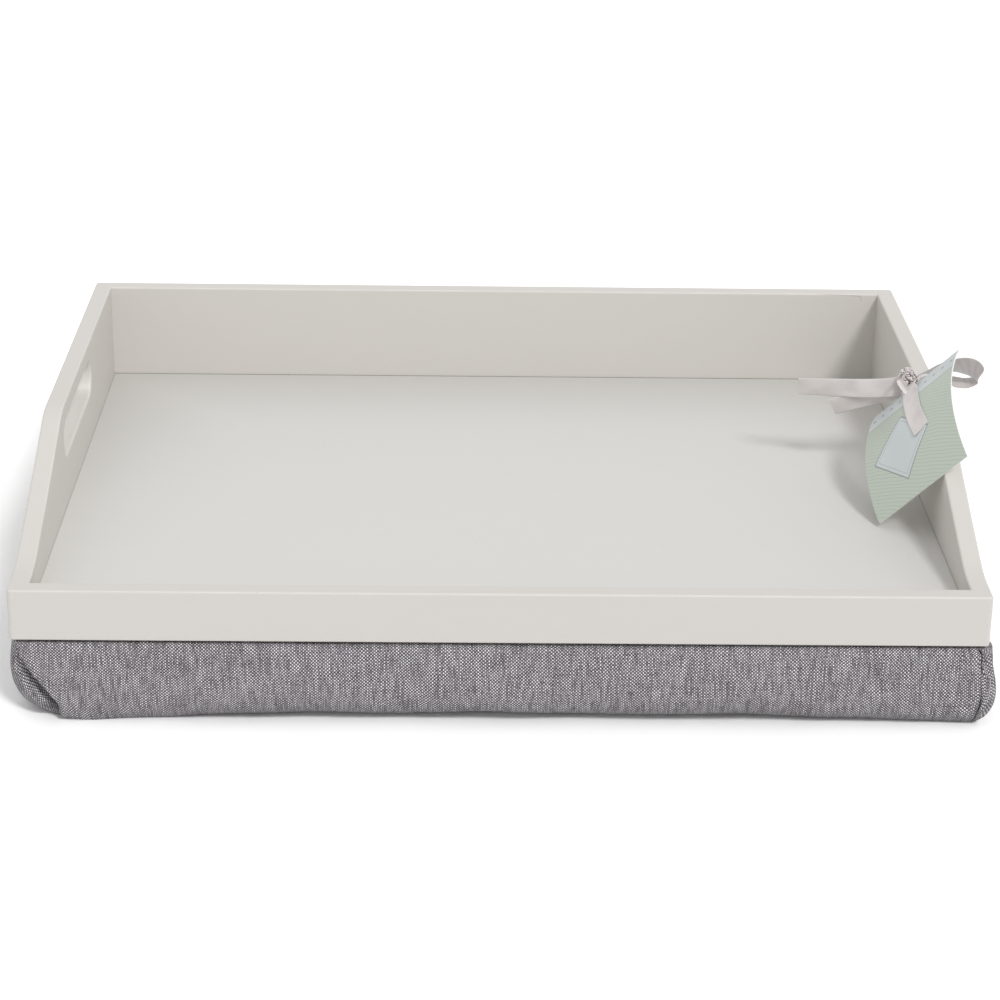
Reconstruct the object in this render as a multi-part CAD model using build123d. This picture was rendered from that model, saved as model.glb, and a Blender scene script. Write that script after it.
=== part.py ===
from build123d import *
import os
from math import asin, atan2, cos, degrees, radians, sin

# Lap tray with cushion: a painted wooden tray that lies on a bead-filled cushion.
# Frame: X to the right, Y to the back, Z up. The origin is on the surface that
# the cushion stands on, under the middle of the tray. All sizes are in millimetres.

# Tray frame
tray_width = 440.0
tray_depth = 330.0
wall = 9.0
front_height = 24.3
back_height = 62.0
outer_corner_round = 2.0
top_edge_round = 1.0
foot_edge_round = 0.7

# Sweep of each side panel from the front rail up to its full height
sweep_start = 24.7
sweep_run = 103.6
sweep_sag = 1.2
sweep_foot_round = 60.0
sweep_shoulder_round = 45.0

# Hand slot in each side panel
slot_length = 100.0
slot_height = 18.0
slot_to_top = 9.0
slot_behind_sweep = 2.2
slot_edge_round = 1.5

# Base panel, held in a groove that runs round inside the walls
panel_thickness = 3.0
panel_lift = 9.0
groove_depth = 4.0
groove_end_play = 0.4
groove_face_play = 0.05

# Panel pins that hold the front rail and the back wall to the side panels
pin_radius = 0.7
pin_length = 25.0
pin_head_radius = 1.3
pin_head_thickness = 0.9
pin_punch_depth = 1.2
pin_hole_play = 0.02
front_pin_height_shares = (0.2, 0.76)
back_pin_height_shares = (0.08, 0.45, 0.85)

# Cushion
cushion_height = 42.0
seam_gap = 0.8
cloth = 1.0
liner_cloth = 0.5
layer_play = 0.1
crown_slope = 15.0
crown_wall_clearance = 1.5
underside_cut = 0.5
top_seam_inset = 6.0
side_bulge = 3.5
front_bulge = 2.0
underside_draw = 13.0
plain_corner_round = 12.0
tucked_corner_round = 30.0
cloth_layers_round = 26.0
crown_corner_round = 14.0

# Folded corners of the cushion cover: how far each fold runs in along the front or back
wide_fold_run = 21.0
narrow_fold_run = 5.0
fold_depth = 4.5
fold_overrun = 10.0

# Hook strips under the base panel and loop strips on the cushion
strip_width = 25.0
strip_length = 120.0
strip_thickness = 1.6
strip_corner_round = 2.0
strip_inset = 45.0
nap_gap = 0.3

# Swing tag: a bowed card that hangs from its ribbon and leans with its lower edge
# on the sweep of the right side panel
tag_width = 61.8
tag_height = 73.3
tag_bow = 7.5
tag_thickness = 0.6
tag_hole_radius = 3.0
tag_hole_inset = 6.0
tag_hole_share = 0.45
tag_contact_gap = 0.3
tag_corner_lift = 2.0
tag_corner_from_wall = 25.8
tag_corner_behind_lean = 17.8
tag_lean_from_front = 90.4

# Ribbon that hangs from the right grip, and the short one that ties the tag to it
ribbon_width = 10.0
ribbon_thickness = 0.5
grip_clearance = 0.8
loop_reach = 37.5
loop_back = 40.0
knot_radius = 4.4
knot_lobe_radius = 3.4
knot_from_wall = 6.2
knot_above_top = 4.6
knot_from_front = 171.0
long_tail = 53.0
short_tail = 38.0
tail_drop = 9.0
tie_width = 3.6
tie_hole_bend = 6.4
tie_knot_bend = 2.6
front_tail_gap = 0.3
front_tail_lift = 1.6

# Shapes given as shares of the sizes above
# Cushion level: height, drawing in, bulge and corner round
corner_draw_share = 0.35
body_level_shares = ((0.0, 1.0, 0.0, 1.0), (0.07, 0.55, 0.15, 0.97), (0.17, 0.24, 0.45, 0.9),
                     (0.36, 0.04, 0.9, 0.72), (0.58, 0.0, 1.0, 0.52), (0.8, 0.0, 0.7, 0.38),
                     (0.95, 0.05, 0.2, 0.3), (1.0, 0.2, 0.0, 0.28))
# Crown level: rise and slope in from the walls
crown_level_shares = ((-1.0, 0.0), (0.35, 0.06), (0.75, 0.3), (0.95, 0.65), (1.0, 1.0))
# Fold edge at a corner: run in from the corner, and height
fold_edge_shares = ((0.02, 0.94), (0.24, 0.81), (0.45, 0.64), (0.74, 0.46), (0.98, 0.32), (1.0, -0.1))
# Ribbon loop: reach out from the wall, way back from the knot, height about the grip,
# then the angles in degrees by which its width is turned and lifted
loop_shares = ((-0.18, 0.0, 1.6, 48, 0), (-0.09, 0.1, 1.2, 45, 0), (0.0, 0.18, 1.0, 42, 0),
               (0.23, 0.38, 1.0, 42, 0), (0.5, 0.6, 1.0, 42, 12), (0.78, 0.85, 0.9, 42, 25),
               (0.94, 0.97, 0.55, 42, 30), (1.0, 1.0, 0.1, 42, 30), (0.94, 0.97, -0.2, 42, 30),
               (0.78, 0.85, -0.45, 42, 25), (0.5, 0.6, -0.7, 42, 12), (0.33, 0.46, -1.0, 42, 0),
               (0.0, 0.18, -1.0, 42, 0), (-0.1, 0.08, -0.75, 20, 0), (-0.15, 0.04, 0.2, 8, 0),
               (-0.17, 0.02, 1.1, 8, 0))
lobe_step_share = 0.6
# Free ends: way to the left, way back and drop
long_tail_shares = ((0.0, 0.0, 0.1), (0.15, 0.02, 0.35), (0.4, 0.09, 0.65), (0.7, 0.16, 0.85),
                    (1.0, 0.23, 1.0))
long_tail_turn = 8
long_tail_lift = 68
short_tail_shares = ((0.0, -0.03, 0.2), (0.2, -0.08, 0.7), (0.55, -0.1, 1.2), (1.0, -0.1, 1.7))
short_tail_turn = 8
short_tail_lift = 62
# End of the tag's ribbon, across and up the card: from the hinge to the cut end
# Its root, across, up and out from the card: from the knot to the hinge
front_tail_shares = ((0.475, 0.9), (0.52, 0.78), (0.58, 0.6), (0.65, 0.41))
front_tail_root_shares = ((0.43, 1.06, 2.4), (0.45, 1.0, 1.8), (0.462, 0.945, 1.3))

# Places worked out from the sizes above
rim_base = cushion_height
front_top = rim_base + front_height
back_top = rim_base + back_height
front_face = -tray_depth / 2
back_face = tray_depth / 2
inner_half_width = tray_width / 2 - wall
inner_half_depth = tray_depth / 2 - wall
panel_bottom = rim_base + panel_lift
panel_top = panel_bottom + panel_thickness
slot_middle = front_face + sweep_start + sweep_run + slot_behind_sweep + slot_length / 2
slot_middle_height = back_top - slot_to_top - slot_height / 2
strip_hook_bottom = panel_bottom - strip_thickness
strip_loop_top = strip_hook_bottom - nap_gap
crown_top = strip_loop_top - strip_thickness
cushion_rim = cushion_height - seam_gap
crown_rise = crown_top - cushion_rim
slope_angle = degrees(atan2(back_height - front_height, sweep_run))


# Tray frame

def side_outline():
    """Face that the tray fills when seen from the side: the level front, the sweep and the full height."""
    foot = Vector(front_face + sweep_start, front_top)
    shoulder = Vector(front_face + sweep_start + sweep_run, back_top)
    along = (shoulder - foot).normalized()
    middle = (foot + shoulder) * 0.5 + Vector(along.Y, -along.X) * sweep_sag
    edges = Polyline((foot.X, foot.Y), (front_face, front_top), (front_face, rim_base), (back_face, rim_base),
                     (back_face, back_top), (shoulder.X, shoulder.Y)).edges()
    sweep = ThreePointArc((shoulder.X, shoulder.Y), (middle.X, middle.Y), (foot.X, foot.Y))
    face = make_face(edges + [sweep])
    face = fillet(face.vertices().sort_by_distance(foot)[0], sweep_foot_round)
    face = fillet(face.vertices().sort_by_distance(shoulder)[0], sweep_shoulder_round)
    return Plane.YZ * face


def hand_slot():
    """One long slot cutter through both side panels."""
    place = Plane.YZ.offset(-tray_width)
    centre = (slot_middle, slot_middle_height)
    return extrude(place * Pos(*centre) * SlotOverall(slot_length, slot_height), 2 * tray_width)


def whole_frame():
    """The four walls as one piece, so that rounded edges run on across the joints."""
    outline = RectangleRounded(tray_width, tray_depth, outer_corner_round)
    outer = Pos(0, 0, rim_base) * extrude(outline, back_height)
    well = Box(2 * inner_half_width, 2 * inner_half_depth, 2 * back_height)
    inner = Pos(0, 0, rim_base + back_height / 2) * well
    profile = extrude(side_outline(), tray_width, both=True)
    frame = (outer - inner) & profile
    top_edges = [edge for edge in frame.edges() if edge.bounding_box().min.Z > front_top - top_edge_round]
    frame = fillet(top_edges, top_edge_round)
    frame = fillet([edge for edge in frame.edges() if is_outer_foot_edge(edge)], foot_edge_round)
    frame = frame - hand_slot()
    slot_edges = [edge for edge in frame.edges() if is_slot_edge(edge)]
    frame = fillet(slot_edges, slot_edge_round)
    return frame - groove()


def is_outer_foot_edge(edge):
    """Whether an edge runs round the outside of the walls' underside."""
    centre = edge.center()
    on_side = abs(centre.X) > inner_half_width + wall / 2
    on_front_or_back = abs(centre.Y) > inner_half_depth + wall / 2
    return edge.bounding_box().max.Z < rim_base + foot_edge_round and (on_side or on_front_or_back)


def is_slot_edge(edge):
    """Whether an edge is part of the rim of a hand slot, on either face of a side panel."""
    box = edge.bounding_box()
    flat = box.max.X - box.min.X < top_edge_round
    inside_height = abs(edge.center().Z - slot_middle_height) <= slot_height / 2 + top_edge_round
    inside_length = abs(edge.center().Y - slot_middle) <= slot_length / 2 + top_edge_round
    on_side = box.min.X > inner_half_width - top_edge_round or box.max.X < top_edge_round - inner_half_width
    return flat and inside_height and inside_length and on_side


def panel_block(depth_in_groove, face_play):
    """Block of the base panel's outline, a little larger for the groove than for the panel."""
    width = 2 * (inner_half_width + depth_in_groove)
    depth = 2 * (inner_half_depth + depth_in_groove)
    height = panel_thickness + 2 * face_play
    return Pos(0, 0, panel_bottom + panel_thickness / 2) * Box(width, depth, height)


def groove():
    """Groove that runs round inside the four walls for the base panel."""
    return panel_block(groove_depth, groove_face_play)


def base_panel():
    return panel_block(groove_depth - groove_end_play, 0)


# Panel pins

def panel_pin(play):
    """One headed pin along +Y, with its head punched in below the face at Y = 0."""
    shank = Cylinder(pin_radius + play, pin_length, align=(Align.CENTER, Align.CENTER, Align.MIN))
    head = Cylinder(pin_head_radius + play, pin_head_thickness, align=(Align.CENTER, Align.CENTER, Align.MIN))
    return Pos(0, pin_punch_depth, 0) * Rot(-90, 0, 0) * (shank + head)


def corner_pins(face, height, height_shares, play=0):
    """Pins through a cross wall into the ends of both side panels."""
    pins = []
    turn = 0 if face < 0 else 180
    for side in (-1, 1):
        for share in height_shares:
            place = Pos(side * (tray_width - wall) / 2, face, rim_base + height * share)
            pins.append(place * Rot(0, 0, turn) * panel_pin(play))
    return pins


def front_pins(play=0):
    return corner_pins(front_face, front_height, front_pin_height_shares, play)


def back_pins(play=0):
    return corner_pins(back_face, back_height, back_pin_height_shares, play)


def slab(low_x, high_x, low_y, high_y):
    """Upright block that cuts one wall out of the frame."""
    height = 2 * back_height
    middle = Pos((low_x + high_x) / 2, (low_y + high_y) / 2, rim_base + back_height / 2)
    return middle * Box(high_x - low_x, high_y - low_y, height)


def walls():
    """Front rail, back wall and the two side panels, cut from the frame at their butt joints."""
    frame = whole_frame()
    for pin in front_pins(pin_hole_play) + back_pins(pin_hole_play):
        frame = frame - pin
    reach = tray_width
    return {
        "front_rail": frame & slab(-reach, reach, front_face - wall, front_face + wall),
        "back_wall": frame & slab(-reach, reach, back_face - wall, back_face + wall),
        "left_side": frame & slab(-reach, 0, front_face + wall, back_face - wall),
        "right_side": frame & slab(0, reach, front_face + wall, back_face - wall),
    }


# Hook and loop strips

def strip(length, width, bottom):
    outline = RectangleRounded(length, width, strip_corner_round)
    return Pos(0, 0, bottom) * extrude(outline, strip_thickness)


def strips(bottom):
    """Four strips near the middle of each side, two along X and two along Y."""
    across = tray_width / 2 - strip_inset - strip_width / 2
    along = tray_depth / 2 - strip_inset - strip_width / 2
    return {
        "front": Pos(0, -along, 0) * strip(strip_length, strip_width, bottom),
        "back": Pos(0, along, 0) * strip(strip_length, strip_width, bottom),
        "left": Pos(-across, 0, 0) * strip(strip_width, strip_length, bottom),
        "right": Pos(across, 0, 0) * strip(strip_width, strip_length, bottom),
    }


# Cushion

def bowed_rectangle(half_x, half_y, front_bow, side_bow, rounds, height):
    """Level outline of the cushion: four bowed sides and four rounded corners.

    The rounds start at the left front corner and go on to the right front, right back and left back.
    """
    inset_share = 1 - cos(radians(45))
    corners = []
    for (side_x, side_y), radius in zip(((-1, -1), (1, -1), (1, 1), (-1, 1)), rounds):
        on_x_side = Vector(side_x * half_x, side_y * (half_y - radius), height)
        on_y_side = Vector(side_x * (half_x - radius), side_y * half_y, height)
        inset = radius * inset_share
        middle = Vector(side_x * (half_x - inset), side_y * (half_y - inset), height)
        ends = (on_x_side, middle, on_y_side) if side_x == side_y else (on_y_side, middle, on_x_side)
        corners.append(ends)
    bows = (front_bow, side_bow, front_bow, side_bow)
    outward = (Vector(0, -1, 0), Vector(1, 0, 0), Vector(0, 1, 0), Vector(-1, 0, 0))
    edges = []
    for index, bow in enumerate(bows):
        start = corners[index][2]
        end = corners[(index + 1) % len(corners)][0]
        crest = (start + end) * 0.5 + outward[index] * bow
        edges.append(ThreePointArc(start, crest, end) if bow else Line(start, end))
        edges.append(ThreePointArc(*corners[(index + 1) % len(corners)]))
    return make_face(edges)


def cushion_body(inset, extra_round):
    """The cushion from its underside to its rim, without the crown."""
    low = inset if inset else -underside_cut
    height = cushion_rim - inset - low
    levels = []
    for height_share, draw_share, bulge_share, corner_share in body_level_shares:
        draw = underside_draw * draw_share
        half_x = tray_width / 2 - draw * corner_draw_share + side_bulge * bulge_share - inset
        half_y = tray_depth / 2 - draw * corner_draw_share - inset
        front_bow = front_bulge * bulge_share - draw * (1 - corner_draw_share)
        side_bow = -draw * (1 - corner_draw_share)
        tucked = tucked_corner_round * corner_share + extra_round
        plain = plain_corner_round * corner_share + extra_round
        rounds = (tucked, plain, tucked, tucked)
        level = low + height * height_share
        levels.append(bowed_rectangle(half_x, half_y, front_bow, side_bow, rounds, level))
    return loft(levels)


def cushion_crown(inset):
    """The part of the cushion that swells up between the walls, with a flat top under the strips."""
    levels = []
    for rise_share, slope_share in crown_level_shares:
        draw = wall + crown_wall_clearance + crown_slope * slope_share + inset
        rise = (crown_rise - inset) * rise_share if rise_share > 0 else -crown_rise
        rounds = (crown_corner_round,) * 4
        half_x = tray_width / 2 - draw
        half_y = tray_depth / 2 - draw
        levels.append(bowed_rectangle(half_x, half_y, 0, 0, rounds, cushion_rim + rise))
    return loft(levels, ruled=True)


def pillow(inset, extra_round=0):
    return cushion_body(inset, extra_round) + cushion_crown(inset)


def fold_recess(side_x, side_y, run):
    """Cutter for the open fold at one corner: the cloth beyond the fold's edge lies back from the face."""
    points = []
    for run_share, height_share in fold_edge_shares:
        points.append(((tray_width / 2 - run * run_share) * side_x, cushion_rim * height_share))
    far = (tray_width / 2 + fold_overrun) * side_x
    points.append((far, points[-1][1]))
    points.append((far, points[0][1]))
    face = make_face(Plane.XZ * Polyline(*points, close=True))
    start = side_y * (tray_depth / 2 - fold_depth)
    return Pos(0, start, 0) * extrude(face, fold_depth + fold_overrun, dir=(0, side_y, 0))


def cushion_layers():
    """Cover, top panel, liner and filling, one inside the other."""
    ground = Pos(0, 0, -tray_depth / 2) * Box(2 * tray_width, 2 * tray_depth, tray_depth)
    outer = pillow(0) - ground
    inner = pillow(cloth, cloth_layers_round)
    for side_x, side_y, run in ((-1, -1, wide_fold_run), (1, -1, narrow_fold_run),
                                (1, 1, wide_fold_run), (-1, 1, wide_fold_run)):
        outer = outer - fold_recess(side_x, side_y, run)
    skin = outer - inner
    seam_width = tray_width - 2 * top_seam_inset
    seam_depth = tray_depth - 2 * top_seam_inset
    seam = RectangleRounded(seam_width, seam_depth, crown_corner_round)
    top_region = Pos(0, 0, cushion_rim - 2 * cloth) * extrude(seam, cushion_height)
    liner_inset = cloth + layer_play
    liner_outer = pillow(liner_inset, cloth_layers_round)
    liner_inner = pillow(liner_inset + liner_cloth, cloth_layers_round)
    return {
        "cushion_cover": skin - top_region,
        "cushion_top_panel": skin & top_region,
        "bead_liner": liner_outer - liner_inner,
        "bead_filling": pillow(liner_inset + liner_cloth + layer_play, cloth_layers_round),
    }


# Swing tag

def sweep_height(from_front):
    """Height of the side panels' sweep at a place behind the front face."""
    share = (from_front - sweep_start) / sweep_run
    straight = front_top + (back_height - front_height) * share
    return straight - 4 * sweep_sag * share * (1 - share) / cos(radians(slope_angle))


def tag_frame():
    """Plane of the tag: X along its lower edge, Y up the card, Z out of its printed side."""
    lean_y = front_face + tag_lean_from_front
    corner = Vector(inner_half_width - tag_corner_from_wall, lean_y + tag_corner_behind_lean,
                    panel_top + tag_corner_lift)
    lean = Vector(inner_half_width, lean_y, sweep_height(tag_lean_from_front) + tag_contact_gap)
    along = (lean - corner).normalized()
    slope = Vector(0, cos(radians(slope_angle)), sin(radians(slope_angle)))
    up = (slope - along * slope.dot(along)).normalized()
    return Plane(origin=corner, x_dir=along, z_dir=along.cross(up))


def tag_arc():
    """Radius and half angle of the bowed card."""
    chord = tag_height - 8 * tag_bow ** 2 / (3 * tag_height)
    radius = (chord ** 2 / 4 + tag_bow ** 2) / (2 * tag_bow)
    return chord, radius, asin(chord / 2 / radius)


def tag_point(across, up, out):
    """A place given along the card's width, up its bowed height and out from its back."""
    chord, radius, half_angle = tag_arc()
    angle = up / radius - half_angle
    height = chord / 2 + (radius + out) * sin(angle)
    depth = (radius + out) * cos(angle) - (radius - tag_bow)
    return tag_frame().from_local_coords(Vector(across, height, depth))


def swing_tag():
    chord, radius, half_angle = tag_arc()
    centre = Vector(chord / 2, tag_bow - radius)

    def on_arc(distance, angle):
        return centre + Vector(distance * sin(angle), distance * cos(angle))

    front = radius + tag_thickness
    back_edge = ThreePointArc(on_arc(radius, -half_angle), on_arc(radius, 0), on_arc(radius, half_angle))
    top_edge = Line(on_arc(radius, half_angle), on_arc(front, half_angle))
    front_edge = ThreePointArc(on_arc(front, half_angle), on_arc(front, 0), on_arc(front, -half_angle))
    foot_edge = Line(on_arc(front, -half_angle), on_arc(radius, -half_angle))
    face = make_face([back_edge, top_edge, front_edge, foot_edge])
    plane = tag_frame()
    edge_on = Plane(origin=plane.origin, x_dir=plane.y_dir, z_dir=plane.x_dir)
    card = extrude(edge_on * face, tag_width, dir=plane.x_dir)
    return card - hole_cutter()


def hole_cutter():
    """Punched hole near the card's upper edge."""
    place = Plane(origin=hole_centre(), x_dir=tag_frame().x_dir, z_dir=hole_direction())
    return place * Cylinder(tag_hole_radius, tag_hole_inset)


def hole_centre():
    return tag_point(tag_width * tag_hole_share, tag_height - tag_hole_inset, tag_thickness / 2)


def hole_direction():
    outside = tag_point(tag_width * tag_hole_share, tag_height - tag_hole_inset, tag_height)
    return (outside - hole_centre()).normalized()


# Ribbons

def knot_centre():
    return Vector(inner_half_width - knot_from_wall, front_face + knot_from_front, back_top + knot_above_top)


def ribbon_strip(rows, width, ruled=False):
    """Flat strip through rows of (centre, width direction), turning smoothly between them."""
    sections = []
    for index, (centre, width_direction) in enumerate(rows):
        before = rows[max(index - 1, 0)][0]
        after = rows[min(index + 1, len(rows) - 1)][0]
        plane = Plane(origin=centre, x_dir=width_direction, z_dir=(after - before).normalized())
        sections.append(plane * Rectangle(width, ribbon_thickness))
    return loft(sections, ruled=ruled)


def grip_loop():
    """Loop of ribbon over the right grip and back through the hand slot to the knot."""
    knot = knot_centre()
    bar_middle = back_top - slot_to_top / 2
    bar_clear = slot_to_top / 2 + grip_clearance
    rows = []
    for reach_share, back_share, height_share, turn, lift in loop_shares:
        centre = Vector(inner_half_width + loop_reach * reach_share, knot.Y + loop_back * back_share,
                        bar_middle + bar_clear * height_share)
        level = Vector(-sin(radians(turn)), cos(radians(turn)), 0)
        rows.append((centre, level * cos(radians(lift)) + Vector(0, 0, 1) * sin(radians(lift))))
    return ribbon_strip(rows, ribbon_width)


def tail(length, shares, turn, lift):
    """One free end of the ribbon, from the knot to the left over the tray."""
    knot = knot_centre()
    rows = []
    for left_share, back_share, drop_share in shares:
        centre = knot + Vector(-length * left_share, length * back_share, -tail_drop * drop_share)
        level = Vector(sin(radians(turn)), cos(radians(turn)), 0)
        rows.append((centre, level * -cos(radians(lift)) + Vector(0, 0, 1) * sin(radians(lift))))
    return ribbon_strip(rows, ribbon_width)


def knot():
    """Rounded knot with a lobe at each side where the ribbon turns over."""
    middle = knot_centre()
    lobe_step = Vector(-knot_lobe_radius, -knot_lobe_radius, knot_lobe_radius) * lobe_step_share
    body = Pos(middle) * Sphere(knot_radius)
    for side in (-1, 1):
        body = body + Pos(middle + lobe_step * side) * Sphere(knot_lobe_radius)
    return body


def hanging_ribbon():
    """Knot, grip loop and the two free ends as one ribbon."""
    long_end = tail(long_tail, long_tail_shares, long_tail_turn, long_tail_lift)
    short_end = tail(short_tail, short_tail_shares, short_tail_turn, short_tail_lift)
    return knot() + [grip_loop(), long_end, short_end]


def tie_outline(distance, grow):
    """Outline of the tie seen edge-on: round the card's upper edge at the hole, narrower at the knot."""
    at_hole = Pos(tie_hole_bend, 0) * Circle(tie_hole_bend + grow)
    at_knot = Pos(distance, 0) * Circle(tie_knot_bend + grow)
    return make_hull(at_hole.edges() + at_knot.edges())


def tag_tie(ribbon):
    """Short ribbon through the tag's hole and round into the knot, with the root of its free end."""
    hole = hole_centre()
    to_knot = knot_centre() - hole
    up = to_knot.normalized()
    plane = Plane(origin=hole, x_dir=up, z_dir=up.cross(hole_direction()).normalized())
    outline = tie_outline(to_knot.length, ribbon_thickness) - tie_outline(to_knot.length, 0)
    tie = extrude(plane * outline, tie_width / 2, both=True)
    rows = []
    for across_share, up_share, lift_share in front_tail_root_shares:
        out = tag_thickness + front_tail_lift * lift_share
        rows.append((tag_point(tag_width * across_share, tag_height * up_share, out), tag_frame().x_dir))
    return (tie + ribbon_strip(rows, ribbon_width)) - ribbon


def front_tail():
    """Free end of the short ribbon, which lies on the card's printed side."""
    out = tag_thickness + front_tail_gap + ribbon_thickness / 2
    rows = []
    for across_share, up_share in front_tail_shares:
        rows.append((tag_point(tag_width * across_share, tag_height * up_share, out), tag_frame().x_dir))
    return ribbon_strip(rows, ribbon_width)


parts = walls()
parts["base_panel"] = base_panel()
parts["front_corner_pins"] = Compound(children=front_pins())
parts["back_corner_pins"] = Compound(children=back_pins())
for side, piece in strips(strip_hook_bottom).items():
    parts["hook_strip_" + side] = piece
for side, piece in strips(crown_top).items():
    parts["loop_strip_" + side] = piece
parts.update(cushion_layers())
parts["swing_tag"] = swing_tag()
parts["hanging_ribbon"] = hanging_ribbon()
parts["tag_tie"] = tag_tie(parts["hanging_ribbon"])
parts["front_tail"] = front_tail()

os.makedirs("parts", exist_ok=True)
for name, piece in parts.items():
    export_step(piece, "parts/" + name + ".step")
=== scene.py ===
import bmesh
import bpy
import numpy as np
from math import asin, cos, pi, radians, sin, sqrt
from mathutils import Matrix, Vector, kdtree, noise


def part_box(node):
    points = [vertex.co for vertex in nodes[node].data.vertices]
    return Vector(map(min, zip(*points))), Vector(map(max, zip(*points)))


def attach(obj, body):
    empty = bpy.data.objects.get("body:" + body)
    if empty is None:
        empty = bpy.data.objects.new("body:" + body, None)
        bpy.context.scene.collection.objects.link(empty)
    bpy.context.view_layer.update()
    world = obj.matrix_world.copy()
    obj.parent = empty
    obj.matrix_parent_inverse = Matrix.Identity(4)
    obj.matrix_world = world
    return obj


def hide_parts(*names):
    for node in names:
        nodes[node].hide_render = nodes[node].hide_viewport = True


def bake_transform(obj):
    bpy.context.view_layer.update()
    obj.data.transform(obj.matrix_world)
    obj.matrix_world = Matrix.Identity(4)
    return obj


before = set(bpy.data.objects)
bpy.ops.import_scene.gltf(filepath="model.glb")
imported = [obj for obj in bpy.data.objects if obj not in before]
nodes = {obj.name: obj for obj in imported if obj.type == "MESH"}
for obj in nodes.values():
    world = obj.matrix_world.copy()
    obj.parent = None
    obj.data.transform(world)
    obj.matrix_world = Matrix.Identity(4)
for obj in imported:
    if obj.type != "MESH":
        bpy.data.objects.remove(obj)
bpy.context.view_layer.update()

# Camera
# The photograph's viewpoint: a long lens in front of the tray, a little to the left
# of its middle, that looks down at about 22 degrees.
lens_mm = 96.2
sensor_mm = 36.0
camera_place = Vector((-0.0206, -1.2483, 0.5575))
look_down = radians(22.37)
look_right = radians(1.02)
camera_roll = radians(0.84)

forward = Vector((sin(look_right) * cos(look_down), cos(look_right) * cos(look_down), -sin(look_down)))
level_right = Vector((cos(look_right), -sin(look_right), 0))
level_up = level_right.cross(forward)
camera_right = cos(camera_roll) * level_right + sin(camera_roll) * level_up
camera_up = cos(camera_roll) * level_up - sin(camera_roll) * level_right
camera_data = bpy.data.cameras.new("camera")
camera_data.lens = lens_mm
camera_data.sensor_width = sensor_mm
camera = bpy.data.objects.new("camera", camera_data)
bpy.context.scene.collection.objects.link(camera)
turn = Matrix((camera_right, camera_up, -forward)).transposed().to_4x4()
camera.matrix_world = Matrix.Translation(camera_place) @ turn
bpy.context.scene.camera = camera
bpy.context.scene.view_settings.view_transform = "Standard"

# Floor and light
# A plain pale floor under the cushion, soft light from all round and one broad lamp in
# front and to the right, which leaves the soft shade inside the tray's right side.
floor_reach = 6.0
floor_shade = 0.82
floor_seen_shade = 1.16
sky_front_strength = 0.72
sky_back_strength = 0.765
lamp_strength = 1.54
lamp_breadth = radians(11)
lamp_direction = Vector((0.317, -0.648, 0.692))


class Flow:
    """A number, colour or vector on its way through the nodes. A sum on it adds the shader's own maths."""

    def __init__(self, graph, socket):
        self.graph = graph
        self.socket = socket

    def maths(self, operation, other=0.0):
        return self.graph.node("ShaderNodeMath", {"operation": operation}, {0: self, 1: other})

    def after(self, operation, first):
        return self.graph.node("ShaderNodeMath", {"operation": operation}, {0: first, 1: self})

    def __add__(self, other):
        return self.maths("ADD", other)

    def __sub__(self, other):
        return self.maths("SUBTRACT", other)

    def __rsub__(self, other):
        return self.after("SUBTRACT", other)

    def __mul__(self, other):
        return self.maths("MULTIPLY", other)

    def __truediv__(self, other):
        return self.maths("DIVIDE", other)

    def __rtruediv__(self, other):
        return self.after("DIVIDE", other)

    def __pow__(self, other):
        return self.maths("POWER", other)

    def __abs__(self):
        return self.maths("ABSOLUTE")

    __radd__ = __add__
    __rmul__ = __mul__

    def sine(self):
        return self.maths("SINE")

    def whole(self):
        return self.maths("FLOOR")

    def at_least(self, other):
        return self.maths("MAXIMUM", other)

    def at_most(self, other):
        return self.maths("MINIMUM", other)

    def rise(self, low, high):
        """0 below low, 1 above high and a smooth rise between them."""
        ends = {"Value": self, "From Min": low, "From Max": high}
        return self.graph.node("ShaderNodeMapRange", {"interpolation_type": "SMOOTHSTEP"}, ends)

    def band(self, low, high, blur):
        """1 between low and high, with blurred edges."""
        return self.rise(low - blur, low + blur) * (1 - self.rise(high - blur, high + blur))


class Graph:
    """The nodes of a finish or of the studio's sky."""

    def __init__(self, tree):
        self.tree = tree

    def node(self, kind, settings=None, inputs=None, output=0):
        """One node: its settings come first, then the values or flows of its sockets."""
        step = self.tree.nodes.new(kind)
        for name, value in (settings or {}).items():
            setattr(step, name, value)
        for name, value in (inputs or {}).items():
            if isinstance(value, Flow):
                self.tree.links.new(value.socket, step.inputs[name])
            else:
                step.inputs[name].default_value = value
        return Flow(self, step.outputs[output])

    def axis(self, flow, letter):
        return self.node("ShaderNodeSeparateXYZ", None, {0: flow}, output=letter)

    def vector(self, x, y, z=0.0):
        return self.node("ShaderNodeCombineXYZ", None, {0: x, 1: y, 2: z})

    def vectors(self, operation, first, second, output="Vector"):
        return self.node("ShaderNodeVectorMath", {"operation": operation}, {0: first, 1: second}, output)


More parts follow.
